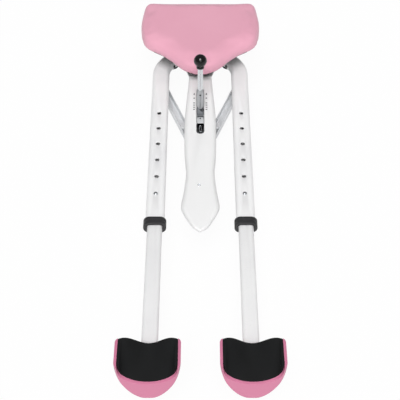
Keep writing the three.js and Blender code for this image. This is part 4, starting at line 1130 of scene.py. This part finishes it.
def curve_through(points, steps):
    """Points on a Catmull-Rom curve through all the points given."""
    spread = []
    last = len(points) - 1
    for index in range(last):
        p0, p1 = points[max(index - 1, 0)], points[index]
        p2, p3 = points[index + 1], points[min(index + 2, last)]
        for step in range(steps):
            t = step / steps
            spread.append(0.5 * (2 * p1 + (p2 - p0) * t + (2 * p0 - 5 * p1 + 4 * p2 - p3) * t * t
                                 + (3 * p1 - p0 - 3 * p2 + p3) * t * t * t))
    spread.append(points[last])
    return spread


def housing_ring(height, drawn_in):
    """The housing's outline at a height: the nose rakes forwards like a bow."""
    rise = (height - HOUSING_BOTTOM) / (HOUSING_TOP - HOUSING_BOTTOM)
    tip = HOUSING_KEEL_TIP + (HOUSING_TIP - HOUSING_KEEL_TIP) * rise + drawn_in
    rear = HOUSING_REAR - drawn_in
    half = HOUSING_WIDTH / 2 - drawn_in
    shares = curve_through([Vector(pair) for pair in OUTLINE_SHARES], 10)
    right = [Vector((half * across, rear + (tip - rear) * along)) for along, across in shares]
    left = [Vector((-point.x, point.y)) for point in reversed(right[:-1])]
    return at_height(left + right, height)


def housing_block(name, wall, bottom, side_steps=6, edge_steps=12):
    """The housing's skin, drawn in by a wall, with a round edge at the top."""
    edge = HOUSING_EDGE - wall
    shoulder = HOUSING_TOP - wall - edge
    rings = [housing_ring(bottom + (shoulder - bottom) * step / side_steps, wall)
             for step in range(side_steps + 1)]
    for step in range(1, edge_steps + 1):
        turn = math.pi / 2 * step / edge_steps
        rings.append(housing_ring(shoulder + edge * math.sin(turn),
                                  wall + edge * (1 - math.cos(turn))))
    return loft(name, rings, "white_cover")


def make_housing():
    body = housing_block("housing_shell", 0, HOUSING_BOTTOM)
    hollow = housing_block("hollow", HOUSING_WALL, HOUSING_BOTTOM - OVERRUN)
    radius = SLOT_WIDTH / 2
    slot_shape = capsule((0, SLOT_FRONT + radius), (0, SLOT_REAR - radius), radius, 24)
    slot = prism("cutter", slot_shape, HOUSING_TOP - SLOT_DEPTH, HOUSING_TOP + LONG_OVERRUN)
    behind = HOUSING_REAR + LONG_OVERRUN
    plate_room = box_cutter((-PLATE_ROOM_HALF, PLATE_ROOM_FRONT, PLATE_ROOM_BOTTOM),
                            (PLATE_ROOM_HALF, behind, PLATE_ROOM_TOP))
    rear_door = box_cutter((-DOOR_HALF, HOUSING_REAR - DOOR_DEPTH, HOUSING_BOTTOM - OVERRUN),
                           (DOOR_HALF, behind, DOOR_TOP))
    cut(body, [hollow, slot, plate_room, rear_door])
    soften(body, ROUNDING["housing"], angle=40)
    settle(body, "frame", "housing_cover")


MARK_X = 14.1 * MM
MARK_START = SLOT_REAR - 18 * MM
MARK_THICKNESS = 0.25 * MM
MARK_SINK = 0.2 * MM
ARROW_HALF = 1.8 * MM
ARROW_LENGTH = 8 * MM
DOT_PLACE = 20 * MM
DOT_RADIUS = 1.8 * MM
BAR_COUNT = 4
BAR_PLACE = 37 * MM
BAR_PITCH = 7.5 * MM
BAR_HALF = 2.1 * MM
BAR_HALF_THICKNESS = 1.4 * MM


def mark_outlines(x):
    """Generic printed marks beside the slot: an arrow, a dot and a scale of bars."""
    foot = MARK_START - ARROW_LENGTH
    shapes = [[(x - ARROW_HALF, foot), (x + ARROW_HALF, foot), (x, MARK_START)],
              circle(x, MARK_START - DOT_PLACE, DOT_RADIUS, 24)]
    for bar in range(BAR_COUNT):
        y = MARK_START - BAR_PLACE - BAR_PITCH * bar
        left, right = x - BAR_HALF, x + BAR_HALF
        front, rear = y - BAR_HALF_THICKNESS, y + BAR_HALF_THICKNESS
        shapes.append([(left, front), (right, front), (right, rear), (left, rear)])
    return shapes


def make_slot_marks():
    for name, side in SIDES.items():
        for number, outline in enumerate(mark_outlines(side * MARK_X)):
            mark = prism(f"mark_{name}_{number}", outline, HOUSING_TOP - MARK_SINK,
                         HOUSING_TOP + MARK_THICKNESS, "white_cover")
            mark.data.materials[0] = MARK_INK
            settle(mark, "frame")


COVER_SCREW = Vector((-2.4 * MM, PIVOT_Y - 547 * MM, HOUSING_TOP))
COVER_SCREW_RADIUS = 3.4 * MM
COVER_SCREW_HEAD = 1.1 * MM
RECESS_HALF = 0.5 * MM
RECESS_ARM_SHARE = 0.62
RECESS_FLOOR = 0.3 * MM
RECESS_TOP = 3 * MM


def make_cover_screw():
    """The small screw in the middle of the cover, with a cross recess."""
    radius, head = COVER_SCREW_RADIUS, COVER_SCREW_HEAD
    profile = [(0, -MM), (radius, -MM), (radius, head * 0.3), (radius * 0.8, head * 0.8), (0, head)]
    screw = lathe("cover_screw", profile, COVER_SCREW, "bright_steel", segments=40)
    arm = radius * RECESS_ARM_SHARE
    cut(screw, [box_cutter(COVER_SCREW + Vector((-across, -along, RECESS_FLOOR)),
                           COVER_SCREW + Vector((across, along, RECESS_TOP)))
                for across, along in ((arm, RECESS_HALF), (RECESS_HALF, arm))])
    finish_turned(screw, 40, "frame")


# Lever pieces are made upright over the axle, then leaned back.

FORK_LENGTH = 66 * MM
FORK_HALF = 7 * MM
FORK_HUB = 9 * MM
FORK_TAIL = -12 * MM
FORK_TAIL_RADIUS = 5.4 * MM
FORK_GAP_HALF = 3.4 * MM
FORK_GAP_BOTTOM = -30 * MM
FORK_GAP_TOP = -6.6 * MM
FORK_GAP_REACH = 20 * MM
BORE_REACH = 15 * MM
BLADE_HALF = 5.5 * MM
BLADE_TOP = 24 * MM
AXLE_BORE = 4.3 * MM
TAIL_BORE = 2.8 * MM
FERRULE_RADIUS = 7.5 * MM
FERRULE_START = 22 * MM
FERRULE_TAPER = 3 * MM
SOCKET_DEPTH = 15 * MM
# Below this height the fork is painted dark: painted shade under the ferrule.
SHADE_PAINTED_BELOW = 20 * MM
# The ferrule's upper end, in millimetres: inwards from its radius, and down from its top.
FERRULE_TOP_PLACES = ((0, 5), (0.6, 4.4), (0.6, 0.8), (1.2, 0))
SET_SCREW_HEIGHT = 54 * MM
SET_SCREW_RADIUS = 2.1 * MM
ROD_RADIUS = 6 * MM
ROD_BOTTOM = 50.3 * MM
ROD_TOP = 122.3 * MM
KNOB_RADIUS = 14.6 * MM
COLLAR_RADIUS = 8.6 * MM
COLLAR_HEIGHT = 7 * MM
# The neck's outside, in millimetres: inwards from its radius, and up from its foot or its top.
NECK_LOWER_PLACES = ((1.8, 0), (0.5, 0.7), (0, 2))
NECK_UPPER_PLACES = ((0, -1), (0.6, 0))


def lean_back(piece):
    turn = Matrix.Rotation(-LEVER_LEAN, 4, "X")
    piece.data.transform(Matrix.Translation((0, AXLE_Y, AXLE_Z)) @ turn)


def make_rod():
    profile = [(0, ROD_BOTTOM), (ROD_RADIUS, ROD_BOTTOM), (ROD_RADIUS, ROD_TOP), (0, ROD_TOP)]
    rod = lathe("lever_shaft", profile, Vector(), "bright_steel")
    lean_back(rod)
    finish_turned(rod, 34, "lever", "lever_rod")


def make_fork():
    """The ferrule that holds the rod, narrowing to two cheeks round the axle."""
    foot, socket, seat = FERRULE_START - FERRULE_TAPER, ROD_RADIUS + FIT, FORK_LENGTH - SOCKET_DEPTH
    upper = [(FERRULE_RADIUS - inward * MM, FORK_LENGTH - down * MM)
             for inward, down in FERRULE_TOP_PLACES]
    profile = [(0, foot), (FERRULE_RADIUS - 2 * MM, foot), (FERRULE_RADIUS, FERRULE_START), *upper,
               (socket, FORK_LENGTH), (socket, seat), (0, seat)]
    body = lathe("lever_ferrule", profile, Vector(), "grey_steel")
    cheek = arc(0, 0, FORK_HUB, 0, math.pi, 24)
    cheek += arc(0, FORK_TAIL, FORK_TAIL_RADIUS, math.pi, math.pi, 24)
    blade = [(-BLADE_HALF, 0), (BLADE_HALF, 0), (BLADE_HALF, BLADE_TOP), (-BLADE_HALF, BLADE_TOP)]
    join(body, [slab(cheek, FORK_HALF), slab(blade, FORK_HALF)])
    gap = box_cutter((-FORK_GAP_HALF, -FORK_GAP_REACH, FORK_GAP_BOTTOM),
                     (FORK_GAP_HALF, FORK_GAP_REACH, FORK_GAP_TOP))
    bores = [slab(circle(0, z, radius, 40), BORE_REACH)
             for z, radius in ((0, AXLE_BORE), (FORK_TAIL, TAIL_BORE))]
    cut(body, [gap, *bores])
    soften(body, ROUNDING["fork"], 2)
    # The cheeks and blade under the ferrule are painted dark as painted shade.
    paint_shade_below(body, SHADE_PAINTED_BELOW)
    lean_back(body)
    settle(body, "lever", "lever_fork")


def slab(outline, half):
    """A flat piece across the lever, from its outline seen along X."""
    return loft("slab", [[Vector((x, y, z)) for y, z in outline] for x in (-half, half)],
                "grey_steel")


def paint_shade_below(body, height):
    """The ferrule is bright steel, and the cheeks under it are painted in the dark steel as painted
    shade under the ferrule.
    """
    body.data.materials.clear()
    body.data.materials.append(FERRULE_STEEL)
    body.data.materials.append(FINISH["dark_steel"])
    for face in body.data.polygons:
        face.material_index = int(face.center.z < height)


def make_set_screw():
    """A dark set screw in the front of the ferrule."""
    r, out = SET_SCREW_RADIUS, -FERRULE_RADIUS
    tip, shoulder, inside = out - 0.5 * MM, out - 0.2 * MM, out + 1.5 * MM
    profile = [(0, tip), (r * 0.55, tip), (r, shoulder), (r, inside), (0, inside)]
    screw = lathe("set_screw", profile, Vector((0, 0, SET_SCREW_HEIGHT)), "dark_steel", "Y", 32)
    lean_back(screw)
    finish_turned(screw, 40, "lever")


def make_knob():
    start = math.asin(COLLAR_RADIUS / KNOB_RADIUS)
    bottom = ROD_TOP + FIT
    middle = bottom + KNOB_RADIUS * math.cos(start)
    ball = arc(0, middle, KNOB_RADIUS, start - math.pi / 2, math.pi - start, 48)
    profile = [(0, bottom), *ball[:-1], (0, middle + KNOB_RADIUS)]
    knob = lathe("ball_knob", profile, Vector(), "gloss_black", segments=72)
    lean_back(knob)
    finish_turned(knob, 50, "lever", "lever_knob")


def make_neck():
    bore, low, high = ROD_RADIUS + FIT, ROD_TOP - COLLAR_HEIGHT, ROD_TOP
    profile = [(bore, low)]
    profile += [(COLLAR_RADIUS - inward * MM, low + up * MM) for inward, up in NECK_LOWER_PLACES]
    profile += [(COLLAR_RADIUS - inward * MM, high + up * MM) for inward, up in NECK_UPPER_PLACES]
    profile += [(bore, high), (bore, low)]
    collar = lathe("knob_neck", profile, Vector(), "gloss_black")
    lean_back(collar)
    finish_turned(collar, 50, "lever", "knob_collar")


# Small fittings that show in the slot.

WEAR_HALF = 8.2 * MM
WEAR_FRONT = AXLE_Y - 29 * MM
WEAR_REAR = AXLE_Y - 7.5 * MM
WEAR_BOTTOM = 115.1 * MM
WEAR_TOP = 115.9 * MM
WEAR_HOLE_PLACE = 4.5 * MM
WEAR_HOLE_RADIUS = 2 * MM
SPRING_CENTRE = Vector((0, AXLE_Y - 50 * MM, 117.6 * MM))
SPRING_WIRE = 0.8 * MM
SPRING_HALF = 2.2 * MM
SPRING_REACH = 10 * MM


def make_wear_plate():
    """A thin plate on the bracket's bridge, with a dark hole."""
    outline = [(-WEAR_HALF, WEAR_FRONT), (WEAR_HALF, WEAR_FRONT), (WEAR_HALF, WEAR_REAR),
               (-WEAR_HALF, WEAR_REAR)]
    plate = prism("slot_wear_plate", outline, WEAR_BOTTOM, WEAR_TOP, "grey_steel")
    cut(plate, [cylinder_cutter(0, WEAR_REAR - WEAR_HOLE_PLACE, WEAR_BOTTOM - OVERRUN,
                                WEAR_TOP + OVERRUN, WEAR_HOLE_RADIUS, 32)])
    soften(plate, ROUNDING["plate"], 2)
    settle(plate, "frame")


def make_pawl_spring():
    """The wire loop that draws the holding pawl down."""
    straight = SPRING_REACH - SPRING_HALF
    around = [Vector(place) for place in capsule((0, -straight), (0, straight), SPRING_HALF, 12)]
    section = circle(0, 0, SPRING_WIRE, 10)
    rings = []
    for index, place in enumerate(around):
        along = around[(index + 1) % len(around)] - around[index - 1]
        out = Vector((along.y, -along.x)).normalized()
        rings.append([SPRING_CENTRE + Vector((*(place + out * across), up))
                      for across, up in section])
    loop = loft("pawl_spring", rings, "bright_steel", caps=False)
    finish_turned(loop, 80, "holding_pawl")


# CAD nodes that stay get their finish and rounded edges.

def dress_cad_nodes():
    slots = {part["node"]: part["material_slot"] for part in frame["record"]["subparts"]}
    slots["holding_pawl_pin"] = "dark_steel"
    for name in ("lever_axle", "carriage_pin_left", "carriage_pin_right"):
        slots[name] = "grey_steel"
    for name, node in frame["nodes"].items():
        finish = FINISH[slots[name]]
        if not node.data.materials:
            node.data.materials.append(finish)
        for index in range(len(node.data.materials)):
            node.data.materials[index] = finish
        for entry in node.material_slots:
            entry.material = finish
        add_bevel(node, CAD_ROUNDING.get(name, OTHER_ROUNDING), 2, 40)


# Stage: a pale floor that keeps the shadow, and soft studio light.

FLOOR_HALF = 8.0
FLOOR_DROP = 0.5 * MM
FLOOR_COLOR = (0.86, 0.86, 0.86, 1)
FLOOR_WHITE_SHARE = 0.95
WORLD_STRENGTH = 0.27


def make_floor():
    paint = surface("floor_paint")
    paint.set({"Base Color": FLOOR_COLOR, "Roughness": 0.9})
    mixed = paint.seen_white(paint.main.outputs[0], "ShaderNodeEmission", FLOOR_WHITE_SHARE,
                             "Is Camera Ray", "Is Glossy Ray")
    paint.set({"Surface": mixed}, paint.tree.nodes["Material Output"])
    mesh = bpy.data.meshes.new("floor")
    corners = [(across * FLOOR_HALF, along * FLOOR_HALF, 0)
               for across, along in ((-1, -1), (1, -1), (1, 1), (-1, 1))]
    mesh.from_pydata(corners, [], [(0, 1, 2, 3)])
    floor = bpy.data.objects.new("floor", mesh)
    floor.location.z = -FLOOR_DROP
    floor.data.materials.append(paint.owner)
    bpy.context.scene.collection.objects.link(floor)


def make_light(name, strength, elevation, from_left, softness):
    """A broad, distant light. Its angles are in degrees, from the floor and from the front."""
    data = bpy.data.lights.new(name, "SUN")
    data.energy = strength
    data.angle = math.radians(softness)
    lamp = bpy.data.objects.new(name, data)
    lamp.rotation_euler = (math.radians(90 - elevation), 0, math.radians(-from_left))
    bpy.context.scene.collection.objects.link(lamp)


def make_world():
    world = bpy.data.worlds.new("studio")
    bpy.context.scene.world = world
    light = Shading(world, "Background")
    light.set({"Color": WHITE, "Strength": WORLD_STRENGTH})
    mixed = light.seen_white(light.main.outputs[0], "ShaderNodeBackground", 1, "Is Camera Ray")
    light.set({"Surface": mixed}, light.tree.nodes["World Output"])


def make_studio():
    make_floor()
    make_world()
    make_light("key", 2.45, 58, 4, 30)
    make_light("fill", 0.5, 33, -6, 40)
    bpy.context.scene.view_settings.view_transform = "Standard"


def make_leg(name, side):
    make_outer_tube(name, side)
    make_collar(name, side)
    make_bolt_cap(name, side)
    make_inner_tube(name, side)
    make_button(name, side)
    make_strut(name, side)
    make_cup(name, side)
    make_pad(name, side)
    make_roller(name, side)
    make_rear_foot(name)


dress_cad_nodes()
make_seat()
make_seat_board()
make_housing()
make_slot_marks()
make_cover_screw()
make_fork()
make_set_screw()
make_rod()
make_knob()
make_neck()
make_wear_plate()
make_pawl_spring()
make_stand()
make_stand_foot()
for leg_name, leg_side in SIDES.items():
    make_leg(leg_name, leg_side)
make_studio()
